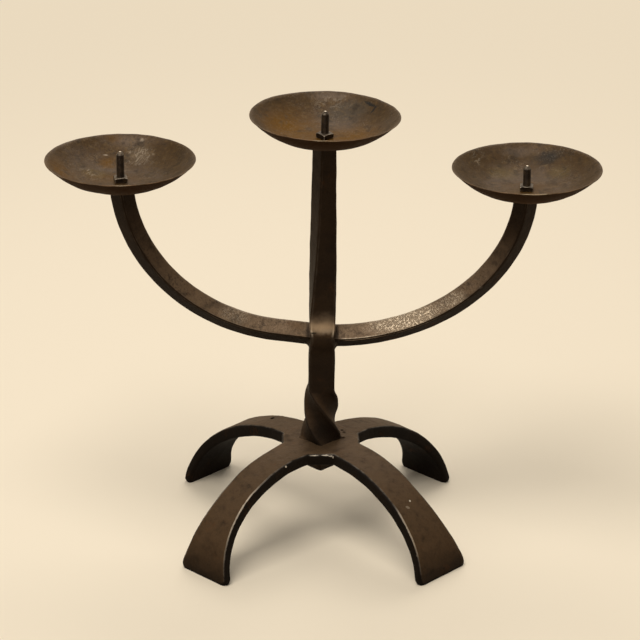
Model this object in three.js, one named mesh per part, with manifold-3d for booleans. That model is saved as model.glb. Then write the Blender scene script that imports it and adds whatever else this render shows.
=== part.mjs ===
// A forged iron table candle holder for three candles: a square stem standing on four
// spread feet, one square bar bent to a wide U through an eye in the stem, and a dished
// drip pan with a threaded spike on the stem's top and on both ends of the bar.
// Millimetres, +Z up. The origin is on the table under the stem, and the front faces -Y.

import * as THREE from 'three';
import { mergeVertices } from 'three/addons/utils/BufferGeometryUtils.js';
import Module from 'manifold-3d';

// Fits
const FIT_GAP = 0.3; // clearance between a piece and what it is seated on or passes through

// Foot: one plate with its four corners drawn out to legs
const FOOT_HEIGHT = 68.4; // top of the plate above the table
const FOOT_THICKNESS = 8;
const FOOT_REACH = 118.5; // from the stem's axis to the outer face of a foot on the table
const SIDE_CROTCH_DEPTH = 27.4; // from the stem's axis to the blunt crotch at the left and right
const SIDE_CROTCH_WIDTH = 15;
const FRONT_CROTCH_DEPTH = 28.5; // the same at the front and back
const FRONT_CROTCH_WIDTH = 19;
const LEG_ROOT_START = 12; // from the stem's axis to where a leg's stock begins in the plate
const LEG_SHOULDER_LENGTH = 18; // over which a leg narrows from the crotches to its waist
const LEG_EDGE_BLUNT = 1.2;
const LEG_TIP_THICKNESS = 5;
const LEG_TIP_CORNER = 5; // rounding of a foot's two corners on the table
const LEG_THIN_FROM = 0.5; // share of a leg after which it thins towards its tip
const LEG_BOW_LATENESS = 1.3; // over 1 puts the widest part of a bow past the leg's middle
const LEG_STEP_CROWDING = 1.4; // over 1 puts a leg's steps closer together towards its tip
const LEG_STEPS = 28;
// Each leg as the smith left it, as seen from the stem looking out along it: how long its root
// stays flat, how far it bows to its left, its least width, the share of its length at which it
// starts to flare, and how far its foot reaches to the right and to the left
const LEGS = [
  { bearing: 225, straight: 22, bow: 0.8, waist: 24.6, flareFrom: 0.5, right: 23, left: 22.5 },
  { bearing: 315, straight: 22, bow: -5.6, waist: 28, flareFrom: 0.43, right: 22.5, left: 26.5 },
  { bearing: 45, straight: 1, bow: 0, waist: 23.5, flareFrom: 0.4, right: 24, left: 22.5 },
  { bearing: 135, straight: 6, bow: -1.2, waist: 25, flareFrom: 0.4, right: 23, left: 23.5 },
];

// Stem: square bar, twisted above the foot, swelled round its eye, drawn down and turned above
const STEM_SIDE = 17.8;
const STEM_EDGE_BLUNT = 0.9;
const STEM_TIP_SIDE = 12;
const STEM_TURN = 31; // degrees, anticlockwise from above on the way up
const TAPER_START = 14; // height above the eye at which the stem starts to taper and turn
const TAPER_EASE = 1.5; // over 1 tapers faster near the eye than near the tip
const TWIST_LENGTH = 40;
const TWIST_ANGLE = 135; // degrees, anticlockwise from above on the way down
const TWIST_EASE = 0.92; // under 1 twists tighter away from the foot
const UPSET_LENGTH = 30; // how far above the foot the thickened lower end fades out
const TAIL_SIDE = 16; // square end through the foot
const TAIL_LENGTH = 13; // what stands out below the foot
const SHOULDER_LEDGE = 2.6; // width of the shoulder round the tail, which stands on the foot
const EYE_WALL = 3.1; // iron in front of and behind the bar in the eye
const EYE_FADE = 4; // how far above and below the bar the eye's swelling fades out
const EYE_NECK = 0.6; // narrowing of each side of the stem at the eye
const STEM_STEPS = 80;
const TWIST_STEP_SHARE = 0.4; // share of those steps that the twist takes

// Candle places: pan, spike and nut on a bar end
const PAN_DIAMETER = 105;
const PAN_DEPTH = 18.1; // rim to underside
const PAN_SHEET = 1.7;
const PAN_RIM_SHEET = 0.9; // the sheet is hammered thinner towards the rim
const PAN_FLOOR_MARGIN = 6.3; // width of the flat floor round the nut's corners
const PAN_WALL_EASE = 2.35; // how late the wall rises: 2 is a plain bowl
const PAN_RINGS = 8;
const PAN_SECTORS = 40;
const SPIKE_DIAMETER = 5;
const SPIKE_POINT_LENGTH = 3.2;
const SPIKE_POINT_DIAMETER = 2;
const SPIKE_BITE = 9; // how far the spike is screwed into the bar end
const SPIKE_SECTORS = 24;
const NUT_WALL = 1.2;
const NUT_HEIGHT = 4;
const NUT_CHAMFER = 0.8;
const ARM_REACH = 141.5; // from the stem's axis to each outer candle
// Height of each rim, tilt of each pan in degrees, height of its spike above its floor, and
// how far its nut is turned
const PLACES = {
  left: { x: -ARM_REACH, rim: 282.0, tilt: -0.2, spike: 22, nutTurn: 9 },
  centre: { x: 0, rim: 314.5, tilt: 0.5, spike: 19.5, nutTurn: 40 },
  right: { x: ARM_REACH, rim: 276.3, tilt: -0.5, spike: 18, nutTurn: -8 },
};

// Arm bar: square, laid on its edge, bent to a U of two unlike quarter ellipses
const ARM_SIDE = 12;
const ARM_EDGE_BLUNT = 0.7;
const ARM_STEPS = 60;
// The lowest point of each bow, and how far above its pan's seat the ellipse stands upright
const LEFT_BOW = { start: -15.3, bottom: 152.4, overrun: 7.8 };
const RIGHT_BOW = { start: 9.5, bottom: 149.1, overrun: 1.1 };
const CROSSING_LEFT = -30; // where the left bow goes over into the run through the eye
const CROSSING_RIGHT = 14; // where that run goes over into the right bow
const CROSSING_HANDLE = 14; // how long that run keeps each bow's direction
const LINE_TOLERANCE = 1e-6; // as a share of the bar's length

// Welds
const ARM_WELD_LEG = 3.9;
const ARM_WELD_LENGTH = 3.6; // along the arm
const ARM_WELD_HALF_WIDTH = 7; // to the front and to the back of the arm's lowest edge
const ARM_WELD_STEPS = 10;
const FOOT_WELD_LEG = 4;
const FOOT_WELD_STEPS = 6;
const WELD_TOE = 0.3; // thickness of a weld's thin end

const FINISH = {
  foot: { color: 0x3a3026, roughness: 0.6, metalness: 0.7 },
  bar: { color: 0x40352a, roughness: 0.6, metalness: 0.7 },
  pan: { color: 0x4a3f31, roughness: 0.65, metalness: 0.7 },
  weld: { color: 0x4c4033, roughness: 0.7, metalness: 0.7 },
  fixing: { color: 0x5a4f42, roughness: 0.5, metalness: 0.8 },
};

// Sizes worked out from those above
const PLATE_UNDERSIDE = FOOT_HEIGHT - FOOT_THICKNESS;
const STEM_BOTTOM = FOOT_HEIGHT + FIT_GAP;
const SHOULDER_SIDE = TAIL_SIDE + 2 * SHOULDER_LEDGE;
const ARM_HALF_DIAGONAL = ARM_SIDE * Math.SQRT1_2;
const EYE_HALF_DEPTH = ARM_HALF_DIAGONAL + FIT_GAP * Math.SQRT2 + EYE_WALL;
const EYE_HALF_LENGTH = ARM_HALF_DIAGONAL + EYE_FADE;
const SPIKE_HOLE_RADIUS = SPIKE_DIAMETER / 2 + FIT_GAP;
const NUT_HALF = SPIKE_HOLE_RADIUS + NUT_WALL;
const NUT_CORNER = NUT_HALF * Math.SQRT2;
const NUT_CLEAR_RADIUS = NUT_CORNER + FIT_GAP;
const PAN_RADIUS = PAN_DIAMETER / 2;
const PAN_FLAT_RADIUS = NUT_CORNER + PAN_FLOOR_MARGIN;

const { degToRad, clamp, lerp, smoothstep } = THREE.MathUtils;

const wasm = await Module();
wasm.setup();

// Solids and booleans

/** A closed geometry as a solid that can be joined and cut. */
function solidOf(geometry) {
  const bare = new THREE.BufferGeometry();
  bare.setAttribute('position', geometry.getAttribute('position'));
  if (geometry.index) bare.setIndex(geometry.index);
  const merged = mergeVertices(bare);
  return new wasm.Manifold(new wasm.Mesh({
    numProp: 3,
    vertProperties: new Float32Array(merged.getAttribute('position').array),
    triVerts: new Uint32Array(merged.index.array),
  }));
}

/** The geometry of a solid, with normals of its own. */
function geometryOf(solid) {
  const { vertProperties, triVerts } = solid.getMesh();
  const geometry = new THREE.BufferGeometry();
  geometry.setAttribute('position', new THREE.BufferAttribute(new Float32Array(vertProperties), 3));
  geometry.setIndex(new THREE.BufferAttribute(new Uint32Array(triVerts), 1));
  geometry.computeVertexNormals();
  return geometry;
}

/** A block between two corners. */
function block(from, to) {
  const size = new THREE.Vector3().subVectors(to, from);
  const middle = new THREE.Vector3().addVectors(from, to).multiplyScalar(0.5);
  const geometry = new THREE.BoxGeometry(size.x, size.y, size.z);
  geometry.translate(middle.x, middle.y, middle.z);
  return geometry;
}

/** A round bar along the z axis between two heights. */
function roundBar(radius, bottom, top) {
  const bar = new THREE.CylinderGeometry(radius, radius, top - bottom, SPIKE_SECTORS);
  bar.rotateX(Math.PI / 2);
  bar.translate(0, 0, (bottom + top) / 2);
  return bar;
}

function mesh(name, geometry, finish) {
  const piece = new THREE.Mesh(geometry, new THREE.MeshStandardMaterial(FINISH[finish]));
  piece.name = name;
  return piece;
}

// Stock and forging

/** A rectangle with blunted corners round the origin, each side drawn in `parts` equal lengths. */
function barSection(width, height, blunt, parts) {
  const x = width / 2;
  const y = height / 2;
  const outline = new THREE.Shape([new THREE.Vector2(blunt - x, -y)]);
  const side = (fromX, fromY, toX, toY) => {
    for (let i = 1; i <= parts; i += 1) {
      outline.lineTo(lerp(fromX, toX, i / parts), lerp(fromY, toY, i / parts));
    }
  };
  side(blunt - x, -y, x - blunt, -y);
  outline.lineTo(x, blunt - y);
  side(x, blunt - y, x, y - blunt);
  outline.lineTo(x - blunt, y);
  side(x - blunt, y, blunt - x, y);
  outline.lineTo(-x, y - blunt);
  side(-x, y - blunt, -x, blunt - y);
  return outline;
}

/** A bar of the given section whose every point is moved by place(point), z running 0 to 1. */
function forgeBar(section, steps, place) {
  const bar = new THREE.ExtrudeGeometry(section, { depth: 1, steps, bevelEnabled: false });
  const position = bar.getAttribute('position');
  const point = new THREE.Vector3();
  for (let i = 0; i < position.count; i += 1) {
    point.fromBufferAttribute(position, i);
    place(point);
    position.setXYZ(i, point.x, point.y, point.z);
  }
  return bar;
}

/** Turns a point about the z axis. */
function turn(point, angle) {
  const { x, y } = point;
  point.x = x * Math.cos(angle) - y * Math.sin(angle);
  point.y = x * Math.sin(angle) + y * Math.cos(angle);
}

// Arm bar

/** Height of the underside of a place's pan, which is seated on a bar end. */
function seatHeight(place) {
  return place.rim - PAN_DEPTH;
}

/** The ellipse of one bow, between two angles counted from its right end. */
function bowArc({ start, bottom, overrun }, place, from, to) {
  const top = seatHeight(place) + overrun;
  return new THREE.EllipseCurve(start, top, Math.abs(place.x - start), top - bottom, from, to);
}

/** The angle at which a bow's ellipse is below a given x. */
function bowAngle({ start }, place, x) {
  return -Math.acos((x - start) / Math.abs(place.x - start));
}

/** Centre line of the arm bar in the XZ plane, from the left end to the right. */
function armLine() {
  const { left, right } = PLACES;
  const leftArc = bowArc(LEFT_BOW, left, -Math.PI, bowAngle(LEFT_BOW, left, CROSSING_LEFT));
  const rightArc = bowArc(RIGHT_BOW, right, bowAngle(RIGHT_BOW, right, CROSSING_RIGHT), 0);
  const crossing = new THREE.CubicBezierCurve(
    leftArc.getPoint(1),
    leftArc.getTangent(1).multiplyScalar(CROSSING_HANDLE).add(leftArc.getPoint(1)),
    rightArc.getTangent(0).multiplyScalar(-CROSSING_HANDLE).add(rightArc.getPoint(0)),
    rightArc.getPoint(0),
  );
  const line = new THREE.CurvePath();
  line.curves = [leftArc, crossing, rightArc];
  return line;
}

const ARM_LINE = armLine();

/** Height of the arm bar's centre line at a distance to the right of the stem's axis. */
function armHeight(x) {
  let low = 0;
  let high = 1;
  while (high - low > LINE_TOLERANCE) {
    const middle = (low + high) / 2;
    if (ARM_LINE.getPoint(middle).x < x) low = middle;
    else high = middle;
  }
  return ARM_LINE.getPoint(low).y;
}

const EYE_HEIGHT = armHeight(0);

/** The arm bar, `grown` on each face, on its edge along the arm line. */
function armStock(grown) {
  const side = ARM_SIDE + 2 * grown;
  return forgeBar(barSection(side, side, ARM_EDGE_BLUNT, 1), ARM_STEPS, (point) => {
    const centre = ARM_LINE.getPoint(point.z);
    const along = ARM_LINE.getTangent(point.z);
    turn(point, Math.PI / 4);
    const across = point.x;
    const up = point.y;
    point.set(centre.x - along.y * up, across, centre.y + along.x * up);
  });
}

/** The arm bar with both ends trimmed and drilled for the candle places. */
function armGeometry() {
  return geometryOf(solidOf(armStock(0))
    .subtract(placeCut(PLACES.left))
    .subtract(placeCut(PLACES.right)));
}

// Stem

const STEM_TOP = seatHeight(PLACES.centre) + FIT_GAP; // stock that is trimmed under the pan
const TURN_START = EYE_HEIGHT + TAPER_START;

function stemSide(z) {
  const upset = smoothstep(z, FOOT_HEIGHT, FOOT_HEIGHT + UPSET_LENGTH);
  const taper = clamp((z - TURN_START) / (STEM_TOP - TURN_START), 0, 1);
  return STEM_TIP_SIDE
    + (STEM_SIDE - STEM_TIP_SIDE) * (1 - taper) ** TAPER_EASE
    + (SHOULDER_SIDE - STEM_SIDE) * (1 - upset);
}

function stemAngle(z) {
  const twist = clamp(1 - (z - FOOT_HEIGHT) / TWIST_LENGTH, 0, 1);
  const upper = clamp((z - TURN_START) / (STEM_TOP - TURN_START), 0, 1);
  return degToRad(TWIST_ANGLE * twist ** TWIST_EASE + STEM_TURN * Math.sin(upper * Math.PI / 2));
}

/** How much of the eye's swelling there is at a height: 1 at the arm's centre line. */
function eyeShare(z) {
  const away = clamp(Math.abs(z - EYE_HEIGHT) / EYE_HALF_LENGTH, 0, 1);
  return (1 + Math.cos(Math.PI * away)) / 2;
}

/** Height of a step of the stem's stock, closer together in the twist. */
function stepHeight(share) {
  const twistTop = FOOT_HEIGHT + TWIST_LENGTH;
  return share < TWIST_STEP_SHARE
    ? lerp(STEM_BOTTOM, twistTop, share / TWIST_STEP_SHARE)
    : lerp(twistTop, STEM_TOP, (share - TWIST_STEP_SHARE) / (1 - TWIST_STEP_SHARE));
}

/** The stem above the foot, `grown` on each face. */
function stemStock(grown) {
  const swell = EYE_HALF_DEPTH - STEM_SIDE / 2;
  return forgeBar(barSection(STEM_SIDE, STEM_SIDE, STEM_EDGE_BLUNT, 3), STEM_STEPS, (point) => {
    const z = stepHeight(point.z);
    const half = stemSide(z) / 2 + grown;
    point.x *= (half - EYE_NECK * eyeShare(z)) / (STEM_SIDE / 2);
    point.y *= (half + swell * eyeShare(z)) / (STEM_SIDE / 2);
    turn(point, stemAngle(z));
    point.z = z;
  });
}

/** A square post turned like the stem's foot end, between two heights. */
function tailPost(side, bottom, top) {
  return forgeBar(barSection(side, side, STEM_EDGE_BLUNT, 1), 1, (point) => {
    turn(point, degToRad(TWIST_ANGLE));
    point.z = lerp(bottom, top, point.z);
  });
}

/** The stem with its tail, its eye and its drilled top. */
function stemGeometry() {
  const tail = tailPost(TAIL_SIDE, PLATE_UNDERSIDE - TAIL_LENGTH, STEM_BOTTOM + SHOULDER_LEDGE);
  return geometryOf(solidOf(stemStock(0))
    .add(solidOf(tail))
    .subtract(solidOf(armStock(FIT_GAP)))
    .subtract(placeCut(PLACES.centre)));
}

// Candle places

/** The frame of a candle place: its z = 0 is the pan's underside. */
function placeFrame(place) {
  const frame = new THREE.Group();
  frame.position.set(place.x, 0, seatHeight(place));
  frame.rotation.y = degToRad(place.tilt);
  frame.updateMatrix();
  return frame;
}

/** What is taken off a bar end for a candle place: all above the pan's seat, and the spike's hole. */
function placeCut(place) {
  const above = block(
    new THREE.Vector3(-PAN_RADIUS, -PAN_RADIUS, -FIT_GAP),
    new THREE.Vector3(PAN_RADIUS, PAN_RADIUS, PAN_RADIUS),
  );
  const hole = roundBar(SPIKE_HOLE_RADIUS, -SPIKE_BITE - FIT_GAP, 0);
  const { matrix } = placeFrame(place);
  return solidOf(above.applyMatrix4(matrix)).add(solidOf(hole.applyMatrix4(matrix)));
}

/** Points of the pan's underside from its flat to its rim. */
function panUnderside() {
  const points = [];
  for (let i = 0; i <= PAN_RINGS; i += 1) {
    const share = i / PAN_RINGS;
    const radius = lerp(PAN_FLAT_RADIUS, PAN_RADIUS, share);
    points.push(new THREE.Vector2(radius, PAN_DEPTH * share ** PAN_WALL_EASE));
  }
  return points;
}

/** The point of the pan's inner face that faces a point of its underside. */
function panInner(underside, i) {
  const before = underside[Math.max(i - 1, 0)];
  const after = underside[Math.min(i + 1, PAN_RINGS)];
  const slope = i === 0
    ? new THREE.Vector2(1, 0)
    : new THREE.Vector2().subVectors(after, before).normalize();
  const sheet = lerp(PAN_SHEET, PAN_RIM_SHEET, i / PAN_RINGS);
  const { x, y } = underside[i];
  return i === PAN_RINGS
    ? new THREE.Vector2(x - sheet / slope.y, y)
    : new THREE.Vector2(x - slope.y * sheet, y + slope.x * sheet);
}

/** A dished sheet with a flat rim edge, a hole in its middle and a seat of its own round the nut. */
function panGeometry() {
  const underside = panUnderside();
  const inside = underside.map((point, i) => panInner(underside, i)).reverse();
  const pan = new THREE.LatheGeometry([
    new THREE.Vector2(SPIKE_HOLE_RADIUS, 0),
    ...underside,
    ...inside,
    new THREE.Vector2(NUT_CLEAR_RADIUS, PAN_SHEET),
    new THREE.Vector2(SPIKE_HOLE_RADIUS, PAN_SHEET),
    new THREE.Vector2(SPIKE_HOLE_RADIUS, 0),
  ], PAN_SECTORS);
  pan.rotateX(Math.PI / 2);
  return pan;
}

/** A spike with a blunt point, screwed into the bar end and standing through the pan. */
function spikeGeometry(height) {
  const radius = SPIKE_DIAMETER / 2;
  const tip = PAN_SHEET + height;
  const spike = new THREE.LatheGeometry([
    new THREE.Vector2(0, -SPIKE_BITE),
    new THREE.Vector2(radius, -SPIKE_BITE),
    new THREE.Vector2(radius, tip - SPIKE_POINT_LENGTH),
    new THREE.Vector2(SPIKE_POINT_DIAMETER / 2, tip),
    new THREE.Vector2(0, tip),
  ], SPIKE_SECTORS);
  spike.rotateX(Math.PI / 2);
  return spike;
}

/** A square nut on the pan's floor, with its upper corners chamfered. */
function nutGeometry(angle) {
  const stock = block(
    new THREE.Vector3(-NUT_HALF, -NUT_HALF, 0),
    new THREE.Vector3(NUT_HALF, NUT_HALF, NUT_HEIGHT),
  );
  const chamfer = new THREE.LatheGeometry([
    new THREE.Vector2(0, -FIT_GAP),
    new THREE.Vector2(NUT_CLEAR_RADIUS, -FIT_GAP),
    new THREE.Vector2(NUT_CLEAR_RADIUS, NUT_HEIGHT - NUT_CHAMFER),
    new THREE.Vector2(NUT_HALF, NUT_HEIGHT),
    new THREE.Vector2(0, NUT_HEIGHT),
  ], SPIKE_SECTORS);
  chamfer.rotateX(Math.PI / 2);
  const bore = roundBar(SPIKE_HOLE_RADIUS, -NUT_HEIGHT, 2 * NUT_HEIGHT);
  const nut = geometryOf(solidOf(stock).intersect(solidOf(chamfer)).subtract(solidOf(bore)));
  nut.rotateZ(degToRad(angle));
  nut.translate(0, 0, PAN_SHEET + FIT_GAP);
  return nut;
}

/** Pan, spike and nut of one candle place, in its own frame. */
function candlePlace(side) {
  const place = PLACES[side];
  const frame = placeFrame(place);
  frame.add(mesh(`drip_pan_${side}`, panGeometry(), 'pan'));
  frame.add(mesh(`spike_${side}`, spikeGeometry(place.spike), 'fixing'));
  frame.add(mesh(`pan_nut_${side}`, nutGeometry(place.nutTurn), 'fixing'));
  return frame;
}

// Foot

/** Outline of the plate between the legs, with its four blunt crotches. */
function plateOutline() {
  const x = SIDE_CROTCH_DEPTH;
  const y = FRONT_CROTCH_DEPTH;
  const a = SIDE_CROTCH_WIDTH / 2;
  const b = FRONT_CROTCH_WIDTH / 2;
  return new THREE.Shape([[x, -a], [x, a], [b, y], [-b, y], [-x, a], [-x, -a], [-b, -y], [b, -y]]
    .map((corner) => new THREE.Vector2(...corner)));
}

/** Where a leg's edge meets the crotch beside it: distance out along the leg, and across from it. */
function crotchCorner(bearing) {
  const [depth, width] = bearing % 180 === 0
    ? [SIDE_CROTCH_DEPTH, SIDE_CROTCH_WIDTH]
    : [FRONT_CROTCH_DEPTH, FRONT_CROTCH_WIDTH];
  return { out: (depth + width / 2) * Math.SQRT1_2, across: (depth - width / 2) * Math.SQRT1_2 };
}

/** The top line of a leg seen from its side: distance from the stem's axis, and height. */
function legLine({ straight }) {
  const bendStart = LEG_ROOT_START + straight;
  const line = new THREE.CurvePath();
  line.curves = [
    new THREE.LineCurve(
      new THREE.Vector2(LEG_ROOT_START, FOOT_HEIGHT),
      new THREE.Vector2(bendStart, FOOT_HEIGHT),
    ),
    new THREE.EllipseCurve(bendStart, 0, FOOT_REACH - bendStart, FOOT_HEIGHT, Math.PI / 2, 0, true),
  ];
  return line;
}

/** How far a leg reaches to its left (side 1) or right (side -1) at a distance along its line. */
function legHalfWidth(leg, side, distance, length) {
  const crotch = crotchCorner(leg.bearing + 45 * side);
  const rootEnd = crotch.out - LEG_ROOT_START;
  const narrowed = smoothstep(distance, rootEnd, rootEnd + LEG_SHOULDER_LENGTH);
  const flare = clamp((distance / length - leg.flareFrom) / (1 - leg.flareFrom), 0, 1) ** 2;
  const footReach = side > 0 ? leg.left : leg.right;
  const intoCorner = clamp(1 - (length - distance) / LEG_TIP_CORNER, 0, 1);
  return lerp(crotch.across, leg.waist / 2, narrowed)
    + (footReach - leg.waist / 2) * flare
    - LEG_TIP_CORNER * (1 - Math.sqrt(1 - intoCorner ** 2));
}

/** One leg: flat stock bent down along its line, bowed sideways, flared and thinned at its foot. */
function legStock(leg) {
  const line = legLine(leg);
  const length = line.getLength();
  const section = barSection(leg.waist, FOOT_THICKNESS, LEG_EDGE_BLUNT, 1);
  const stock = forgeBar(section, LEG_STEPS, (point) => {
    const share = 1 - (1 - point.z) ** LEG_STEP_CROWDING;
    const top = line.getPoint(share);
    const along = line.getTangent(share);
    const side = Math.sign(point.x);
    const inset = leg.waist / 2 - Math.abs(point.x);
    const across = side * (legHalfWidth(leg, side, share * length, length) - inset)
      + leg.bow * Math.sin(Math.PI * share ** LEG_BOW_LATENESS);
    const thin = clamp((share - LEG_THIN_FROM) / (1 - LEG_THIN_FROM), 0, 1);
    const thickness = lerp(FOOT_THICKNESS, LEG_TIP_THICKNESS, thin);
    const depth = (point.y / FOOT_THICKNESS - 0.5) * thickness;
    point.set(top.x - along.y * depth, across, top.y + along.x * depth);
  });
  stock.rotateZ(degToRad(leg.bearing));
  return stock;
}

/** The whole foot: plate and legs in one piece, with the stem's square hole. */
function footGeometry() {
  const plate = new THREE.ExtrudeGeometry(plateOutline(), {
    depth: FOOT_THICKNESS - 2 * LEG_EDGE_BLUNT,
    bevelThickness: LEG_EDGE_BLUNT,
    bevelSize: LEG_EDGE_BLUNT,
    bevelOffset: -LEG_EDGE_BLUNT,
    bevelSegments: 1,
  });
  plate.translate(0, 0, PLATE_UNDERSIDE + LEG_EDGE_BLUNT);
  const hole = tailPost(TAIL_SIDE + 2 * FIT_GAP, PLATE_UNDERSIDE - FIT_GAP, FOOT_HEIGHT + FIT_GAP);
  const joined = LEGS.reduce((foot, leg) => foot.add(solidOf(legStock(leg))), solidOf(plate));
  return geometryOf(joined.subtract(solidOf(hole)));
}

// Welds

/** How far a hollow fillet stands out, at a share of the way from its thin end to its thick one. */
function filletReach(leg, share) {
  return WELD_TOE + leg * (1 - Math.sqrt(1 - share ** 2));
}

/** The weld under one arm: a hollow fillet round the arm's lower edge against the stem's side. */
function armWeldGeometry(side) {
  const toe = STEM_SIDE / 2 + ARM_WELD_LENGTH;
  const section = barSection(ARM_SIDE, ARM_SIDE, ARM_EDGE_BLUNT, 1);
  const bead = forgeBar(section, ARM_WELD_STEPS, (point) => {
    const x = lerp(STEM_SIDE / 4, toe, point.z);
    const share = clamp((toe - x) / ARM_WELD_LENGTH, 0, 1);
    const half = ARM_SIDE / 2 + FIT_GAP + filletReach(ARM_WELD_LEG, share);
    turn(point, Math.PI / 4);
    point.multiplyScalar(half / (ARM_SIDE / 2));
    point.set(side * x, point.x * side, armHeight(side * x) + point.y);
  });
  const lower = block(
    new THREE.Vector3(-toe, -ARM_WELD_HALF_WIDTH, EYE_HEIGHT - 2 * ARM_SIDE),
    new THREE.Vector3(toe, ARM_WELD_HALF_WIDTH, EYE_HEIGHT),
  );
  return geometryOf(solidOf(bead)
    .intersect(solidOf(lower))
    .subtract(solidOf(armStock(FIT_GAP)))
    .subtract(solidOf(stemStock(FIT_GAP))));
}

/** The weld under the plate: a hollow fillet round the stem's square tail. */
function footWeldGeometry() {
  const top = PLATE_UNDERSIDE - FIT_GAP;
  const section = barSection(TAIL_SIDE, TAIL_SIDE, STEM_EDGE_BLUNT, 1);
  const bead = forgeBar(section, FOOT_WELD_STEPS, (point) => {
    const half = TAIL_SIDE / 2 + FIT_GAP + filletReach(FOOT_WELD_LEG, point.z);
    point.x *= half / (TAIL_SIDE / 2);
    point.y *= half / (TAIL_SIDE / 2);
    turn(point, degToRad(TWIST_ANGLE));
    point.z = lerp(top - FOOT_WELD_LEG, top, point.z);
  });
  const tail = tailPost(TAIL_SIDE + 2 * FIT_GAP, PLATE_UNDERSIDE - TAIL_LENGTH, FOOT_HEIGHT);
  return geometryOf(solidOf(bead).subtract(solidOf(tail)));
}

// Assembly

const candleHolder = new THREE.Group();
candleHolder.add(mesh('foot_cross', footGeometry(), 'foot'));
candleHolder.add(mesh('stem', stemGeometry(), 'bar'));
candleHolder.add(mesh('arm_bar', armGeometry(), 'bar'));
candleHolder.add(mesh('arm_weld_left', armWeldGeometry(-1), 'weld'));
candleHolder.add(mesh('arm_weld_right', armWeldGeometry(1), 'weld'));
candleHolder.add(mesh('foot_weld', footWeldGeometry(), 'weld'));
candleHolder.add(candlePlace('left'));
candleHolder.add(candlePlace('centre'));
candleHolder.add(candlePlace('right'));

export default candleHolder;
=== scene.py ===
"""Looks of a forged iron table candle holder for three candles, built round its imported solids.

Lengths are in metres unless a name says mm, in the frame of the solids: +Z up, the front
towards -Y, the origin under the stem's axis at the height of the feet's soles.
"""

import logging
import math
from collections.abc import Callable, Iterator
from contextlib import contextmanager
from dataclasses import dataclass
from enum import Enum
from itertools import pairwise

import bpy
from mathutils import Matrix, Vector

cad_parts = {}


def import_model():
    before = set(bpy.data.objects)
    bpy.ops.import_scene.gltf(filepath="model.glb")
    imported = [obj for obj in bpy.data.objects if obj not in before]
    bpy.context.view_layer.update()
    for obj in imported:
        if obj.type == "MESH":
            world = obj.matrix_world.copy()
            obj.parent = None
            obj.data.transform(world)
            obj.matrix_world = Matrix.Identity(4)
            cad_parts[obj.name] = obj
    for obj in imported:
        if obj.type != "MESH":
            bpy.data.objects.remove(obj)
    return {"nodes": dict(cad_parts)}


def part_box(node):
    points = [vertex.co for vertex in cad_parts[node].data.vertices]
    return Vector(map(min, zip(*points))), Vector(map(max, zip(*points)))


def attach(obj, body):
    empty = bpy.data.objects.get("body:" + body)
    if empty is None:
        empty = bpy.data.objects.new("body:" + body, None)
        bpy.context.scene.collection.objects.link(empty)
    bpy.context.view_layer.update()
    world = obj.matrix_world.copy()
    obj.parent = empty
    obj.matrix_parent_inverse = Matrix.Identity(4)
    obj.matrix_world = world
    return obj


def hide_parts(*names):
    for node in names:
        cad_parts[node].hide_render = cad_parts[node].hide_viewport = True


LOG = logging.getLogger("candle holder")
# Vertices that are closer than this, in metres, are made one
MERGE_DISTANCE = 1e-6

Nodes = dict[str, bpy.types.Object]
Setting = float | str | bool | tuple[float, ...]
Link = bpy.types.NodeSocket


# Measures, colours and selection


def mm(length: float) -> float:
    """Returns a length given in millimetres, in metres."""
    return length / 1000


def per_metre(size_mm: float) -> float:
    """Returns the scale at which a pattern's features are as wide as a size in millimetres."""
    return 1000 / size_mm


def linear(colour: str) -> tuple[float, float, float, float]:
    """Turns an sRGB hex colour to the linear one that shaders take, by the standard's own curve.

    Args:
        colour: The colour as "#rrggbb".

    Returns:
        Red, green, blue and an alpha of 1.
    """
    shares = [int(colour[i : i + 2], 16) / 255 for i in (1, 3, 5)]
    red, green, blue = (s / 12.92 if s <= 0.04045 else ((s + 0.055) / 1.055) ** 2.4 for s in shares)
    return red, green, blue, 1.0


def choose(piece: bpy.types.Object) -> None:
    """Makes a piece the only one that is selected, and the active one.

    Args:
        piece: The piece.
    """
    for other in bpy.context.selected_objects:
        other.select_set(False)
    piece.select_set(True)
    bpy.context.view_layer.objects.active = piece


@contextmanager
def editing(piece: bpy.types.Object) -> Iterator[None]:
    """Opens a piece in edit mode with all of it selected, and closes it again.

    Args:
        piece: The piece to open.
    """
    with editing_where(piece, lambda place: True):
        bpy.ops.mesh.select_all(action="SELECT")
        yield


@contextmanager
def editing_where(piece: bpy.types.Object, wanted: Callable[[Vector], bool]) -> Iterator[None]:
    """Opens a piece in edit mode with only some of its vertices selected, and closes it again.

    Args:
        piece: The piece to open.
        wanted: Says by a vertex's place whether it is selected.
    """
    mesh = piece.data
    for parts in (mesh.polygons, mesh.edges):
        parts.foreach_set("select", [False] * len(parts))
    mesh.vertices.foreach_set("select", [wanted(vertex.co) for vertex in mesh.vertices])
    choose(piece)
    bpy.context.tool_settings.mesh_select_mode = (True, False, False)
    bpy.ops.object.mode_set(mode="EDIT")
    yield
    bpy.ops.object.mode_set(mode="OBJECT")


def apply_modifier(piece: bpy.types.Object, kind: str, **settings: object) -> None:
    """Adds a modifier to a piece and applies it.

    Args:
        piece: The piece to change.
        kind: The kind of modifier, such as "SUBSURF".
        settings: The modifier's own settings.
    """
    choose(piece)
    modifier = piece.modifiers.new(kind.title(), kind)
    for name, value in settings.items():
        setattr(modifier, name, value)
    bpy.ops.object.modifier_apply(modifier=modifier.name)


def shade_smooth(piece: bpy.types.Object, sharp_from_deg: float) -> None:
    """Shades a piece smoothly, apart from edges that are at least as sharp as an angle."""
    choose(piece)
    bpy.ops.object.shade_smooth_by_angle(angle=math.radians(sharp_from_deg))


# The smith's work: what is done to a piece's mesh


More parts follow.
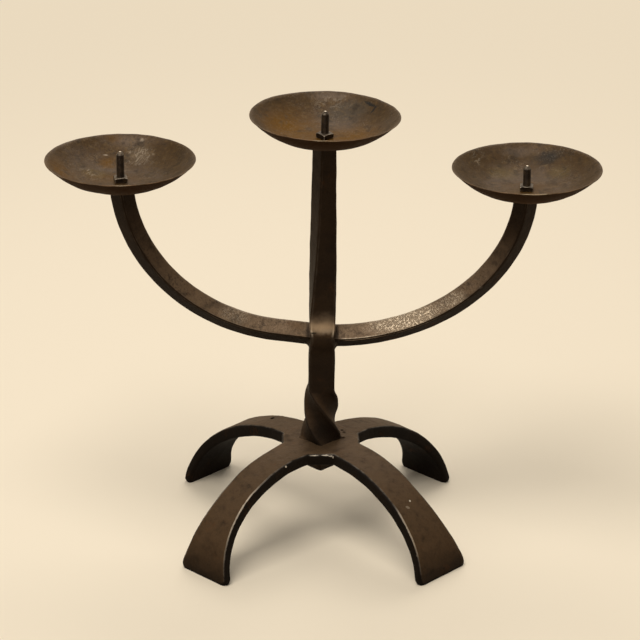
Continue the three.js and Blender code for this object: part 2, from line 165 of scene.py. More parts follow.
class Dent(Enum):
    """Kinds of unevenness that forging leaves, by the texture that gives them."""

    HAMMER_FACE = "VORONOI"
    WAVE = "CLOUDS"


@dataclass(frozen=True)
class Hammering:
    """An unevenness that is beaten into a surface."""

    dent: Dent
    size: float
    depth: float
    outward: float = 0.5  # share of the depth that stands proud of the old surface
    direction: str = "NORMAL"

    def strike(self, piece: bpy.types.Object) -> None:
        """Beats this unevenness into a piece.

        Args:
            piece: The piece.
        """
        texture = bpy.data.textures.new(f"{self.dent.name} {self.size}", self.dent.value)
        texture.noise_scale = self.size
        if self.dent is Dent.HAMMER_FACE:
            texture.distance_metric = "DISTANCE_SQUARED"
        apply_modifier(
            piece,
            "DISPLACE",
            texture=texture,
            texture_coords="LOCAL",
            direction=self.direction,
            strength=self.depth,
            mid_level=1 - self.outward,
        )


@dataclass(frozen=True)
class Reworking:
    """How a solid's mesh is made fine, and its edges a little soft."""

    smooth_steps: int
    softening: int = 1
    grain: float = 0.0  # size of an even mesh's faces, or 0 to go on with the solid's own
    fullness: float = 0.0  # how far the skin is grown, for what blunting and softening take off
    edge_angle_deg: float = 30  # from which an edge stays an edge
    shade_angle_deg: float = 60  # from which it also looks sharp

    def copy(self, node: bpy.types.Object, name: str) -> bpy.types.Object:
        """Copies a solid as a new piece, and creases its edges, which stay when it is rounded out.

        Args:
            node: The solid, which is left as it is.
            name: The new piece's name.

        Returns:
            The new piece.
        """
        piece = bpy.data.objects.new(name, node.data.copy())
        piece.data.materials.clear()
        bpy.context.scene.collection.objects.link(piece)
        with editing(piece):
            bpy.ops.mesh.remove_doubles(threshold=MERGE_DISTANCE)
            bpy.ops.mesh.tris_convert_to_quads()
            bpy.ops.mesh.select_mode(type="EDGE")
            bpy.ops.mesh.select_all(action="DESELECT")
            bpy.ops.mesh.edges_select_sharp(sharpness=math.radians(self.edge_angle_deg))
            bpy.ops.transform.edge_crease(value=1)
        return piece

    def refine(self, piece: bpy.types.Object) -> None:
        """Rounds out a copy's bends, and makes its mesh fine and its edges soft.

        Args:
            piece: The copy.
        """
        steps = self.smooth_steps
        apply_modifier(piece, "SUBSURF", levels=steps, render_levels=steps)
        if self.grain:
            apply_modifier(piece, "REMESH", mode="VOXEL", voxel_size=self.grain)
        apply_modifier(piece, "SMOOTH", factor=0.5, iterations=self.softening)
        with editing(piece):
            bpy.ops.transform.shrink_fatten(value=self.fullness, use_even_offset=True)
        shade_smooth(piece, self.shade_angle_deg)


def draw_line(name: str, points: list[Vector]) -> bpy.types.Object:
    """Draws a line of edges: a vertex that is pulled from point to point.

    Args:
        name: The new piece's name.
        points: The line's points, in order.

    Returns:
        The line, without faces.
    """
    bpy.ops.mesh.primitive_plane_add(size=mm(1))
    line = bpy.context.object
    line.name = name
    with editing(line):
        bpy.ops.mesh.merge(type="CENTER")
        bpy.ops.transform.translate(value=points[0])
        for here, there in pairwise(points):
            bpy.ops.mesh.extrude_region()
            bpy.ops.transform.translate(value=there - here)
    return line


def turn_shell(name: str, outline: list[tuple[float, float]], sectors: int) -> bpy.types.Object:
    """Turns a closed shell: a circle that is pulled from point to point of an outline.

    Args:
        name: The new piece's name.
        outline: Radius and height of each ring. A last ring on the first one closes the shell,
            and otherwise both ends get a flat face.
        sectors: Number of faces round the shell.

    Returns:
        The shell, round the z axis.
    """
    bpy.ops.mesh.primitive_circle_add(vertices=sectors, radius=outline[0][0])
    shell = bpy.context.object
    shell.name = name
    with editing(shell):
        bpy.ops.transform.translate(value=(0, 0, outline[0][1]))
        for (radius, height), (next_radius, next_height) in pairwise(outline):
            scale = next_radius / radius
            bpy.ops.mesh.extrude_region()
            bpy.ops.transform.resize(value=(scale, scale, 1), center_override=(0, 0, 0))
            bpy.ops.transform.translate(value=(0, 0, next_height - height))
        bpy.ops.mesh.select_all(action="SELECT")
        bpy.ops.mesh.remove_doubles(threshold=MERGE_DISTANCE)
        bpy.ops.mesh.select_mode(type="EDGE")
        bpy.ops.mesh.select_all(action="DESELECT")
        bpy.ops.mesh.select_non_manifold(extend=False)
        bpy.ops.mesh.fill_holes(sides=0)
        bpy.ops.mesh.select_all(action="SELECT")
        bpy.ops.mesh.normals_make_consistent(inside=False)
    return shell


# Finishes: what each surface is made of


def add(
    tree: bpy.types.NodeTree,
    kind: str,
    settings: dict[str | int, Setting] | None = None,
    links: dict[str | int, Link] | None = None,
) -> bpy.types.Node:
    """Adds a node with its settings and links.

    Args:
        tree: The material's nodes.
        kind: The kind of node, such as "ShaderNodeMath".
        settings: Values by the name of a setting, or by the name or number of an input.
        links: Sockets by the name or number of the input that each feeds.

    Returns:
        The new node.
    """
    node = tree.nodes.new(kind)
    for name, value in (settings or {}).items():
        if isinstance(name, str) and hasattr(node, name):
            setattr(node, name, value)
        else:
            node.inputs[name].default_value = value
    for name, socket in (links or {}).items():
        tree.links.new(socket, node.inputs[name])
    return node


@dataclass(frozen=True)
class Coat:
    """What a part of a surface is covered with, or bare to."""

    colour: str
    roughness: float
    metallic: float
    gloss: float  # the shader's specular level


@dataclass(frozen=True)
class Grain:
    """Irregular patches of about one width, by the levels at which a patch begins and is full."""

    size_mm: float
    begins: float
    full: float
    detail: float = 4.0  # how finely a patch's edge is broken up


@dataclass(frozen=True)
class Mark:
    """A single stain, scuff or worn place, as the holder has it, within an ellipsoid's reach."""

    place_mm: tuple[float, float, float]
    reach_mm: tuple[float, float, float]
    coat: Coat
    strength: float
    ragged_mm: float = 5.0  # how far its edge strays
    core: float = 0.35  # share of its reach within which it is full
    turn_deg: float = 0.0


# A mix node's kind, and the numbers of its inputs A and B and of its result in that kind
MIX_OF_NUMBERS = ("FLOAT", 2, 3, 0)
MIX_OF_COLOURS = ("RGBA", 6, 7, 2)


class Surface:
    """The nodes of one material, to which coats are added one over another."""

    def __init__(self, name: str, base: Coat) -> None:
        """Starts a material whose whole surface has one coat.

        Args:
            name: The material's name.
            base: The coat under all others.
        """
        self.material = bpy.data.materials.new(name)
        self.material.use_nodes = True
        self.tree = self.material.node_tree
        self.shader = self.tree.nodes["Principled BSDF"]
        self.place = add(self.tree, "ShaderNodeTexCoord").outputs["Object"]
        self.form = add(self.tree, "ShaderNodeNewGeometry")
        for name, value in self.values(base).items():
            self.shader.inputs[name].default_value = value

    @staticmethod
    def values(coat: Coat) -> dict[str, float | tuple[float, ...]]:
        """Gives a coat's values by the names of the shader's inputs.

        Args:
            coat: The coat.

        Returns:
            A colour for the base colour, and plain numbers for the rest.
        """
        return {
            "Base Color": linear(coat.colour),
            "Roughness": coat.roughness,
            "Metallic": coat.metallic,
            "Specular IOR Level": coat.gloss,
        }

    def lay(self, coat: Coat, mask: Link) -> None:
        """Adds a coat over the ones before.

        Args:
            coat: The coat.
            mask: Where it lies, 0 to 1.
        """
        for name, value in self.values(coat).items():
            goal = self.shader.inputs[name]
            is_number = isinstance(value, float)
            is_same = is_number and math.isclose(goal.default_value, value, abs_tol=1e-6)
            if is_same and not goal.is_linked:
                continue
            kind, below, above, result = MIX_OF_NUMBERS if is_number else MIX_OF_COLOURS
            mix = add(self.tree, "ShaderNodeMix", {"data_type": kind, above: value}, {0: mask})
            if goal.is_linked:
                self.tree.links.new(goal.links[0].from_socket, mix.inputs[below])
            else:
                mix.inputs[below].default_value = goal.default_value
            self.tree.links.new(mix.outputs[result], goal)

    def grain(self, grain: Grain) -> Link:
        """Gives the mask of irregular patches.

        Args:
            grain: Their width and levels.

        Returns:
            A mask, 0 to 1.
        """
        noise = add(
            self.tree,
            "ShaderNodeTexNoise",
            {"Scale": per_metre(grain.size_mm), "Detail": grain.detail, "Roughness": 0.6},
            {"Vector": self.place},
        )
        return self.level(noise.outputs["Fac"], grain.begins, grain.full)

    def level(self, value: Link, low: float, high: float) -> Link:
        """Turns a value to a mask.

        Args:
            value: The value.
            low: Up to which the mask is 0.
            high: From which it is 1. It may be the lower of the two, and the mask then falls.

        Returns:
            A mask, 0 to 1.
        """
        step = add(
            self.tree,
            "ShaderNodeMapRange",
            {"interpolation_type": "SMOOTHSTEP", 1: low, 2: high},
            {0: value},
        )
        return step.outputs[0]

    def product(self, *masks: Link, strength: float = 1.0) -> Link:
        """Gives the mask that is where all of the given masks are.

        Args:
            masks: The masks.
            strength: What it is at most.

        Returns:
            A mask, 0 to the strength.
        """
        result = masks[0]
        for mask in masks[1:]:
            both = add(self.tree, "ShaderNodeMath", {"operation": "MULTIPLY"}, {0: result, 1: mask})
            result = both.outputs[0]
        if strength == 1.0:
            return result
        weaker = add(self.tree, "ShaderNodeMath", {"operation": "MULTIPLY", 1: strength}, {0: result})
        return weaker.outputs[0]

    def facing_up(self, low: float, high: float) -> Link:
        """Gives the mask of faces that look upwards, between two heights of their normal."""
        parts = add(self.tree, "ShaderNodeSeparateXYZ", {}, {0: self.form.outputs["Normal"]})
        return self.level(parts.outputs["Z"], low, high)

    def edges(self, low: float, high: float) -> Link:
        """Gives the mask of outer edges, by how pointed the mesh is there."""
        return self.level(self.form.outputs["Pointiness"], low, high)

    def around(self, mark: Mark) -> Link:
        """Gives the ragged mask of a mark, 1 in its middle.

        Args:
            mark: The mark.

        Returns:
            A mask, 0 to 1.
        """
        sway = add(
            self.tree,
            "ShaderNodeTexNoise",
            {"Scale": per_metre(mark.ragged_mm), "Detail": 3.0},
            {"Vector": self.place},
        )
        ragged = mm(mark.ragged_mm)
        swayed = add(
            self.tree,
            "ShaderNodeVectorMath",
            {"operation": "MULTIPLY_ADD", 1: (ragged,) * 3},
            {0: sway.outputs["Color"], 2: self.place},
        )
        local = add(
            self.tree,
            "ShaderNodeMapping",
            {
                "vector_type": "TEXTURE",
                "Location": tuple(mm(c) + ragged / 2 for c in mark.place_mm),
                "Rotation": (0, 0, math.radians(mark.turn_deg)),
                "Scale": tuple(mm(r) for r in mark.reach_mm),
            },
            {"Vector": swayed.outputs[0]},
        )
        distance = add(
            self.tree, "ShaderNodeVectorMath", {"operation": "LENGTH"}, {0: local.outputs[0]}
        )
        return self.level(distance.outputs["Value"], 1.0, mark.core)

    def leave(self, mark: Mark, within: Link | None = None) -> None:
        """Leaves a mark on the surface.

        Args:
            mark: The mark.
            within: A mask that it is held to, if any.
        """
        masks = [self.around(mark)] + ([within] if within else [])
        self.lay(mark.coat, self.product(*masks, strength=mark.strength))

    def scratches(self, spacing_mm: float, width: float, turn_deg: float) -> Link:
        """Gives thin broken lines that run mostly one way.

        Args:
            spacing_mm: About how far apart the lines are.
            width: Their width, as a share of that.
            turn_deg: The way they run, from the x axis.

        Returns:
            A mask, 1 on the lines.
        """
        stretched = (4, 1, 1)
        along = add(
            self.tree,
            "ShaderNodeMapping",
            {
                "vector_type": "TEXTURE",
                "Rotation": (0, 0, math.radians(turn_deg)),
                "Scale": stretched,
            },
            {"Vector": self.place},
        )
        noise = add(
            self.tree,
            "ShaderNodeTexNoise",
            {"Scale": per_metre(spacing_mm), "Detail": 1.0, "Distortion": 0.4},
            {"Vector": along.outputs[0]},
        )
        height = add(
            self.tree,
            "ShaderNodeMath",
            {"operation": "SUBTRACT", 1: 0.5},
            {0: noise.outputs["Fac"]},
        )
        off_line = add(self.tree, "ShaderNodeMath", {"operation": "ABSOLUTE"}, {0: height.outputs[0]})
        lines = self.level(off_line.outputs[0], width, width / 4)
        gaps = Grain(spacing_mm * 2.5, 0.4, 0.55)
        return self.product(lines, self.grain(gaps))

    def roughen(self, height: Link, depth_mm: float) -> None:
        """Adds a fine relief.

        Args:
            height: The relief, 0 to 1.
            depth_mm: How deep it is from 0 to 1.
        """
        goal = self.shader.inputs["Normal"]
        bump = add(self.tree, "ShaderNodeBump", {"Distance": mm(depth_mm)}, {"Height": height})
        if goal.is_linked:
            self.tree.links.new(goal.links[0].from_socket, bump.inputs["Normal"])
        self.tree.links.new(bump.outputs[0], goal)


# Black forge scale under wax: near black, with little gloss
SCALE = Coat("#1c140d", 0.65, 0.0, 0.08)
# The same where it is thicker, as on the foot, and painted shade on the foot's sides and undersides and
# on the lower twist: deep black and matte
THICK_SCALE_AND_SHADE = Coat("#0d0906", 0.7, 0.0, 0.08)
# The same where the hammer left it thinner: a shade browner
THIN_SCALE = Coat("#312416", 0.6, 0.0, 0.1)
# Wax and dust of years on what looks upwards, with painted light on those faces: brown, with a metal's
# sheen through it
PATINA_AND_TOP_LIGHT = Coat("#5a432b", 0.5, 0.4, 0.15)
# The same on the arms, which are handled more, with painted light on their upward faces: lighter
RUBBED_PATINA_AND_TOP_LIGHT = Coat("#715d48", 0.48, 0.5, 0.15)
# The same on the foot, which is dusted less, with painted light on its upper faces: darker and duller
FOOT_PATINA_AND_TOP_LIGHT = Coat("#523f2b", 0.58, 0.3, 0.1)
# Iron rubbed bare along edges, with painted highlights along them: light and warm grey
BARE_IRON_AND_GLINT = Coat("#c6b6a0", 0.38, 0.75, 0.3)
# Iron scoured and pitted by the hammer, only half bare
SCOURED = Coat("#bfac92", 0.42, 0.6, 0.3)
# Old rust under the wax
RUST = Coat("#6a4321", 0.7, 0.1, 0.15)
# Soot and burnt wax in the pans
SOOT = Coat("#18130c", 0.5, 0.0, 0.15)
# Thin bright scratches where candles were turned
SCUFF = Coat("#a0917c", 0.4, 0.6, 0.3)


@dataclass(frozen=True)
class BarIron:
    """Forged mild steel bar, blackened and waxed: black below as painted shade, brown above with dust
    and painted light, worn at its edges with painted highlights.
    """

    name: str
    wear_and_glint: float  # strength of the bare metal and painted highlight along its edges
    scale: Coat = SCALE
    patina_and_top_light: Coat = PATINA_AND_TOP_LIGHT
    thin_scale: float = 0.6  # strength of the patches of thinner scale
    speckle: float = 0.5  # strength of the black specks in the brown
    edge_level: float = 0.512  # pointiness at which an edge starts to be rubbed and given a painted highlight
    edge_step: float = 0.018  # from there to where it is rubbed and highlighted fully
    marks: tuple[Mark, ...] = ()
    pitted: tuple[Mark, ...] = ()
    worn_and_glinting_edges: tuple[Mark, ...] = ()
    thin_patches: Grain = Grain(30, 0.2, 0.6)
    waxed_and_lit_patches: Grain = Grain(9, 0.05, 0.5)
    specks: Grain = Grain(1.6, 0.45, 0.7, 2.0)
    speckled_areas: Grain = Grain(12, 0.3, 0.7)
    spots: Grain = Grain(5, 0.48, 0.7)
    rusty_areas: Grain = Grain(22, 0.55, 0.75)
    rust_specks: Grain = Grain(2.5, 0.4, 0.7)
    pits: Grain = Grain(1.2, 0.44, 0.58, 2.0)
    rubbed_and_glinting_stretches: Grain = Grain(11, 0.35, 0.65)
    hammered: Grain = Grain(6, 0.2, 0.8)
    tooth: Grain = Grain(1.4, 0.3, 0.7, 2.0)

    def material(self) -> bpy.types.Material:
        """Builds the material.

        Returns:
            The new material.
        """
        surface = Surface(self.name, self.scale)
        self.weather(surface)
        self.pit(surface)
        edge = self.edge(surface)
        # Edge wear, laid together with painted highlights along the edges
        worn_and_glinting = surface.product(edge, surface.grain(self.rubbed_and_glinting_stretches), strength=self.wear_and_glint)
        surface.lay(BARE_IRON_AND_GLINT, worn_and_glinting)
        for mark in self.worn_and_glinting_edges:
            surface.leave(mark, edge)
        for mark in self.marks:
            surface.leave(mark)
        surface.roughen(surface.grain(self.hammered), depth_mm=0.2)
        surface.roughen(surface.grain(self.tooth), depth_mm=0.05)
        return surface.material

    def weather(self, surface: Surface) -> None:
        """Lays thinner scale, waxed dust with painted light on upward faces, black specks and a little
        rust over the scale, leaving the undersides in black scale as painted shade.

        Args:
            surface: The surface in the making.
        """
        # Painted shade: the thinner, browner scale stays off faces that look down, so undersides stay
        # black
        lit_faces = surface.facing_up(-0.5, -0.2)
        thin = surface.product(lit_faces, surface.grain(self.thin_patches), strength=self.thin_scale)
        surface.lay(THIN_SCALE, thin)
        # Painted light on upward faces, laid with the dust and wax
        top = surface.product(self.top(surface), surface.grain(self.waxed_and_lit_patches), strength=0.95)
        surface.lay(self.patina_and_top_light, top)
        areas = surface.grain(self.speckled_areas)
        specks = surface.product(surface.grain(self.specks), areas, strength=self.speckle)
        surface.lay(SCALE, specks)
        spots = surface.product(surface.grain(self.spots), strength=self.speckle * 0.7)
        surface.lay(SCALE, spots)
        areas = surface.grain(self.rusty_areas)
        rust = surface.product(areas, surface.grain(self.rust_specks), strength=0.35)
        surface.lay(RUST, rust)

    def pit(self, surface: Surface) -> None:
        """Scours the pitted stretches, and lays bare what stands between their pits.

        Args:
            surface: The surface in the making.
        """
        pits = surface.grain(self.pits)
        for pitted in self.pitted:
            area = surface.product(surface.around(pitted), surface.facing_up(0.3, 0.45))
            surface.lay(SCOURED, surface.product(area, strength=pitted.strength * 0.35))
            surface.lay(pitted.coat, surface.product(area, pits, strength=pitted.strength))
            surface.roughen(surface.product(area, pits), depth_mm=0.25)

    def top(self, surface: Surface) -> Link:
        """Gives the mask of what looks upwards, where dust and wax stay and light is painted."""
        return surface.facing_up(0.05, 0.62)

    def edge(self, surface: Surface) -> Link:
        """Gives the mask of the edges that are rubbed and given a painted highlight."""
        return surface.edges(self.edge_level, self.edge_level + self.edge_step)


class FootIron(BarIron):
    """The same iron on the foot: its sides stay black as painted shade, only its upper faces get the
    painted light, and only its upper edges are rubbed, with a painted highlight.
    """

    def sideways(self, surface: Surface) -> Link:
        """Gives how far a face looks to the side of its leg: 0 on top of it, over 1 at its side.

        The legs lie along the diagonals, so a point's signs of x and y give its leg's direction.

        Args:
            surface: The surface in the making.

        Returns:
            That measure, at each point.
        """
        leg = add(surface.tree, "ShaderNodeVectorMath", {"operation": "SIGN"}, {0: surface.place})
        turned = add(
            surface.tree,
            "ShaderNodeVectorMath",
            {"operation": "CROSS_PRODUCT"},
            {0: leg.outputs[0], 1: surface.form.outputs["Normal"]},
        )
        parts = add(surface.tree, "ShaderNodeSeparateXYZ", {}, {0: turned.outputs[0]})
        size = add(surface.tree, "ShaderNodeMath", {"operation": "ABSOLUTE"}, {0: parts.outputs["Z"]})
        return size.outputs[0]

    def top(self, surface: Surface) -> Link:
        """Gives the mask of the legs' upper faces, without their blunted edges, where the light is
        painted.
        """
        lit_faces = surface.facing_up(-0.15, 0.5)
        return surface.product(lit_faces, surface.level(self.sideways(surface), 0.6, 0.4))

    def edge(self, surface: Surface) -> Link:
        """Gives the mask of the line between a leg's upper face and its blunted edge, where wear and a
        painted highlight lie.

        Args:
            surface: The surface in the making.

        Returns:
            A mask, 0 to 1.
        """
        sideways = self.sideways(surface)
        begins = surface.level(sideways, 0.25, 0.45)
        ends = surface.level(sideways, 0.95, 0.75)
        return surface.product(begins, ends, surface.facing_up(0.0, 0.15))


# Waxed scale in the pans: olive brown, with a dull sheen
PAN_OLIVE = Coat("#43311b", 0.5, 0.35, 0.12)
# The same where it is rubbed thin: greyer
PAN_GREY = Coat("#463626", 0.45, 0.4, 0.15)
# The same where wax has burnt in: dark
PAN_DARK = Coat("#2b2012", 0.6, 0.1, 0.12)
# Fine dry mottle over it: tan
PAN_TAN = Coat("#604a2b", 0.5, 0.3, 0.12)
# Scale on the pans' undersides, which is never waxed, darkened further as painted shade: dark brown and
# matte
PAN_UNDERSIDE_AND_SHADE = Coat("#32210f", 0.8, 0.0, 0.06)
# Sheet rubbed along the rim, with a painted highlight along it: bronze
PAN_RIM_AND_GLINT = Coat("#806040", 0.5, 0.4, 0.2)


@dataclass(frozen=True)
class SheetIron:
    """Steel sheet, dished hot and blackened: mottled olive brown inside, darker underneath with painted
    shade, and a painted highlight along the rim.
    """

    name: str
    stains: tuple[Mark, ...] = ()  # under the mottle
    marks: tuple[Mark, ...] = ()  # over it
    scuffed: tuple[Mark, ...] = ()
    grey_areas: Grain = Grain(24, 0.42, 0.62)
    dark_blotches: Grain = Grain(8, 0.5, 0.68)
    mottle: Grain = Grain(3.2, 0.48, 0.68)
    flecks: Grain = Grain(1.1, 0.5, 0.7, 2.0)
    flecked_areas: Grain = Grain(14, 0.4, 0.65)
    soot_specks: Grain = Grain(1.7, 0.52, 0.7, 2.0)
    rubbed_and_glinting_stretches: Grain = Grain(9, 0.3, 0.65)
    hammered: Grain = Grain(4, 0.2, 0.8)
    tooth: Grain = Grain(0.9, 0.2, 0.8, 2.0)
    scratch_spacing_mm: float = 2.8  # wider apart than real ones, which are too fine to show
    scratch_width: float = 0.06
    scratch_turn_deg: float = 60

    def material(self) -> bpy.types.Material:
        """Builds the material.

        Returns:
            The new material.
        """
        surface = Surface(self.name, PAN_UNDERSIDE_AND_SHADE)
        inside = surface.facing_up(0.12, 0.5)
        surface.lay(PAN_OLIVE, inside)
        surface.lay(PAN_GREY, surface.product(inside, surface.grain(self.grey_areas), strength=0.7))
        for stain in self.stains:
            surface.leave(stain)
        surface.lay(PAN_DARK, surface.product(inside, surface.grain(self.dark_blotches), strength=0.6))
        surface.lay(PAN_TAN, surface.product(inside, surface.grain(self.mottle), strength=0.35))
        for mark in self.marks:
            surface.leave(mark)
        flecked = surface.product(inside, surface.grain(self.flecks), surface.grain(self.flecked_areas))
        surface.lay(SCUFF, surface.product(flecked, strength=0.15))
        surface.lay(SOOT, surface.product(inside, surface.grain(self.soot_specks), strength=0.3))
        lines = surface.scratches(self.scratch_spacing_mm, self.scratch_width, self.scratch_turn_deg)
        for mark in self.scuffed:
            surface.leave(mark, lines)
        rim = surface.edges(0.535, 0.58)
        surface.lay(PAN_RIM_AND_GLINT, surface.product(rim, surface.grain(self.rubbed_and_glinting_stretches), strength=0.55))
        surface.roughen(surface.grain(self.hammered), depth_mm=0.12)
        surface.roughen(surface.grain(self.tooth), depth_mm=0.03)
        return surface.material


@dataclass(frozen=True)
class WeldMetal:
    """Weld beads, brushed and blackened with the rest: dark, with bright tops that are partly rubbed
    and partly a painted highlight.
    """

    name: str
    thin_patches: Grain = Grain(3, 0.4, 0.65)
    rubbed_and_glinting_tops: Grain = Grain(2, 0.45, 0.62)
    tooth: Grain = Grain(0.8, 0.2, 0.8)

    def material(self) -> bpy.types.Material:
        """Builds the material.

        Returns:
            The new material.
        """
        surface = Surface(self.name, SCALE)
        surface.lay(THIN_SCALE, surface.grain(self.thin_patches))
        # Painted highlight, with some rubbing, on the beads' tops
        glinting_tops = surface.edges(0.53, 0.6)
        surface.lay(BARE_IRON_AND_GLINT, surface.product(glinting_tops, surface.grain(self.rubbed_and_glinting_tops), strength=0.5))
        surface.roughen(surface.grain(self.tooth), depth_mm=0.06)
        return surface.material


@dataclass(frozen=True)
class ThreadedSteel:
    """Spikes and nuts, darkened with the rest: bright where hands and tools rub, and with painted
    highlights on the nuts' edges and the spikes' points.
    """

    name: str
    edge_level: float  # pointiness at which an edge starts to be rubbed and given a painted highlight
    wear_and_glint: float
    top_wear_and_glint: float  # wear and painted highlight of faces that look straight up
    edge_step: float = 0.08  # from the edge level to where it is rubbed and highlighted fully
    darkened: Coat = Coat("#271d14", 0.5, 0.35, 0.1)
    browned: Coat = Coat("#3b2d1d", 0.55, 0.35, 0.12)
    browned_patches: Grain = Grain(4, 0.4, 0.65)
    rubbed_and_glinting_stretches: Grain = Grain(2, 0.3, 0.6)
    tooth: Grain = Grain(0.7, 0.2, 0.8)

    def material(self) -> bpy.types.Material:
        """Builds the material.

        Returns:
            The new material.
        """
        surface = Surface(self.name, self.darkened)
        surface.lay(self.browned, surface.grain(self.browned_patches))
        # Edge wear with painted highlights, strongest on the nuts
        edge = surface.edges(self.edge_level, self.edge_level + self.edge_step)
        rubbed_and_glinting = surface.product(edge, surface.grain(self.rubbed_and_glinting_stretches), strength=self.wear_and_glint)
        surface.lay(BARE_IRON_AND_GLINT, rubbed_and_glinting)
        # Painted highlight on the spikes' points, with wear on the nuts' tops
        glinting_tops = surface.facing_up(0.85, 0.95)
        surface.lay(BARE_IRON_AND_GLINT, surface.product(glinting_tops, strength=self.top_wear_and_glint))
        surface.roughen(surface.grain(self.tooth), depth_mm=0.03)
        return surface.material


# The holder's sub-assemblies


def settle(
    piece: bpy.types.Object, nodes: tuple[str, ...], material: bpy.types.Material
) -> None:
    """Dresses a finished piece, hangs it on the root body and hides the solids that it stands for.

    Args:
        piece: The piece, in its place.
        nodes: The solids that it replaces.
        material: The finish.
    """
    piece.data.materials.clear()
    piece.data.materials.append(material)
    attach(piece, "root")
    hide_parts(*nodes)
    LOG.info("%s: %d faces", piece.name, len(piece.data.polygons))


@dataclass
class Foot:
    """The plate with its four legs, forged in one piece."""

    nodes: Nodes
    reworking: Reworking = Reworking(smooth_steps=2, grain=mm(0.85), fullness=mm(1.1))
    planishing: Hammering = Hammering(Dent.HAMMER_FACE, mm(13), mm(0.4), outward=0)
    waves: Hammering = Hammering(Dent.WAVE, mm(24), mm(0.5), outward=0)
    sole: float = mm(1.0)  # height below which the feet are pressed flat

    def build(self) -> None:
        """Forges and dresses the foot, within the solid's depth from front to back."""
        piece = self.reworking.copy(self.nodes["foot_cross"], "forged_foot")
        self.reworking.refine(piece)
        self.waves.strike(piece)
        self.planishing.strike(piece)
        with editing_where(piece, lambda place: place.z < self.sole):
            bpy.ops.transform.resize(value=(1, 1, 0), center_override=(0, 0, 0))
        low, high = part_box("foot_cross")
        for limit, outward in ((low.y, -1), (high.y, 1)):
            with editing_where(piece, lambda place: (place.y - limit) * outward > 0):
                bpy.ops.transform.resize(value=(1, 0, 1), center_override=(0, limit, 0))
        settle(piece, ("foot_cross",), self.finish().material())

    def finish(self) -> BarIron:
        """Gives the foot's finish, with its own worn places, painted highlights and painted shadow.

        Returns:
            The finish.
        """
        bare_and_glinting = Coat("#d9ccb6", 0.4, 0.4, 0.3)
        pit = Coat("#070504", 0.95, 0.0, 0.01)
        smudge_and_shadow = Coat("#1b150e", 0.8, 0.0, 0.03)
        marks = (
            # The chipped lip at the front, worn bright and with a painted highlight along it
            Mark((-5.8, -28.7, 68.4), (4.6, 0.5, 1.0), bare_and_glinting, 0.8, 0.7, 0.5),
            Mark((2.6, -28.6, 68.4), (3.6, 0.5, 1.0), bare_and_glinting, 0.7, 0.7, 0.5),
            Mark((6.4, -29.1, 67.9), (2.4, 0.6, 1.0), bare_and_glinting, 1.0, 0.6, 0.4),
            Mark((8.2, -29.3, 66.8), (0.7, 0.6, 1.0), bare_and_glinting, 0.8, 0.5),
            # Chips and a scuff on the front legs
            Mark((61.4, -67.3, 51.3), (0.9, 1.0, 1.2), bare_and_glinting, 1.0, 0.4),
            Mark((-25.6, -44.0, 66.8), (1.0, 1.1, 1.3), bare_and_glinting, 1.0, 0.4),
            Mark((59.7, -73.1, 49.0), (2.2, 1.2, 1.4), SCUFF, 0.4, 1.0, 0.8),
            # A pit on the back left leg
            Mark((-34.3, 41.9, 64.5), (2.2, 3.0, 4), pit, 1.0, 0.8),
            # Black smudges on the plate, partly painted shadow round the foot of the stem, and two pits
            # beside the stem
            Mark((-25, 1.4, 69), (4, 5, 3), smudge_and_shadow, 0.35, 3.0),
            Mark((-22.5, -5, 69), (4, 4, 3), smudge_and_shadow, 0.5, 2.5, 0.0),
            Mark((0, -12, 69), (22, 16, 3), smudge_and_shadow, 0.3, 5.0, 0.2),
            Mark((-9.6, -20, 69), (5, 6, 3), smudge_and_shadow, 0.3, 3.0, 0.0),
            Mark((9.5, -22.5, 69), (4.5, 6, 3), smudge_and_shadow, 0.3, 3.0, 0.0),
            Mark((15.8, 11.6, 69), (1.5, 1.8, 3), pit, 0.8, 0.8),
            Mark((17.2, 8.2, 69), (1.6, 1.6, 3), pit, 0.9, 0.8),
        )
        return FootIron(
            "Forged iron foot",
            # Painted shade: the foot's sides and undersides keep this near-black base
            scale=THICK_SCALE_AND_SHADE,
            patina_and_top_light=FOOT_PATINA_AND_TOP_LIGHT,
            thin_scale=0.12,
            speckle=0.3,
            wear_and_glint=0.15,
            marks=marks,
            # Wear with painted highlights along the front legs' upper edges
            worn_and_glinting_edges=(
                Mark((-58, -75, 43), (36, 34, 44), BARE_IRON_AND_GLINT, 0.45, 4.0, 0.3),
                Mark((60, -86, 36), (18, 24, 30), BARE_IRON_AND_GLINT, 0.5, 4.0, 0.3),
            ),
        )


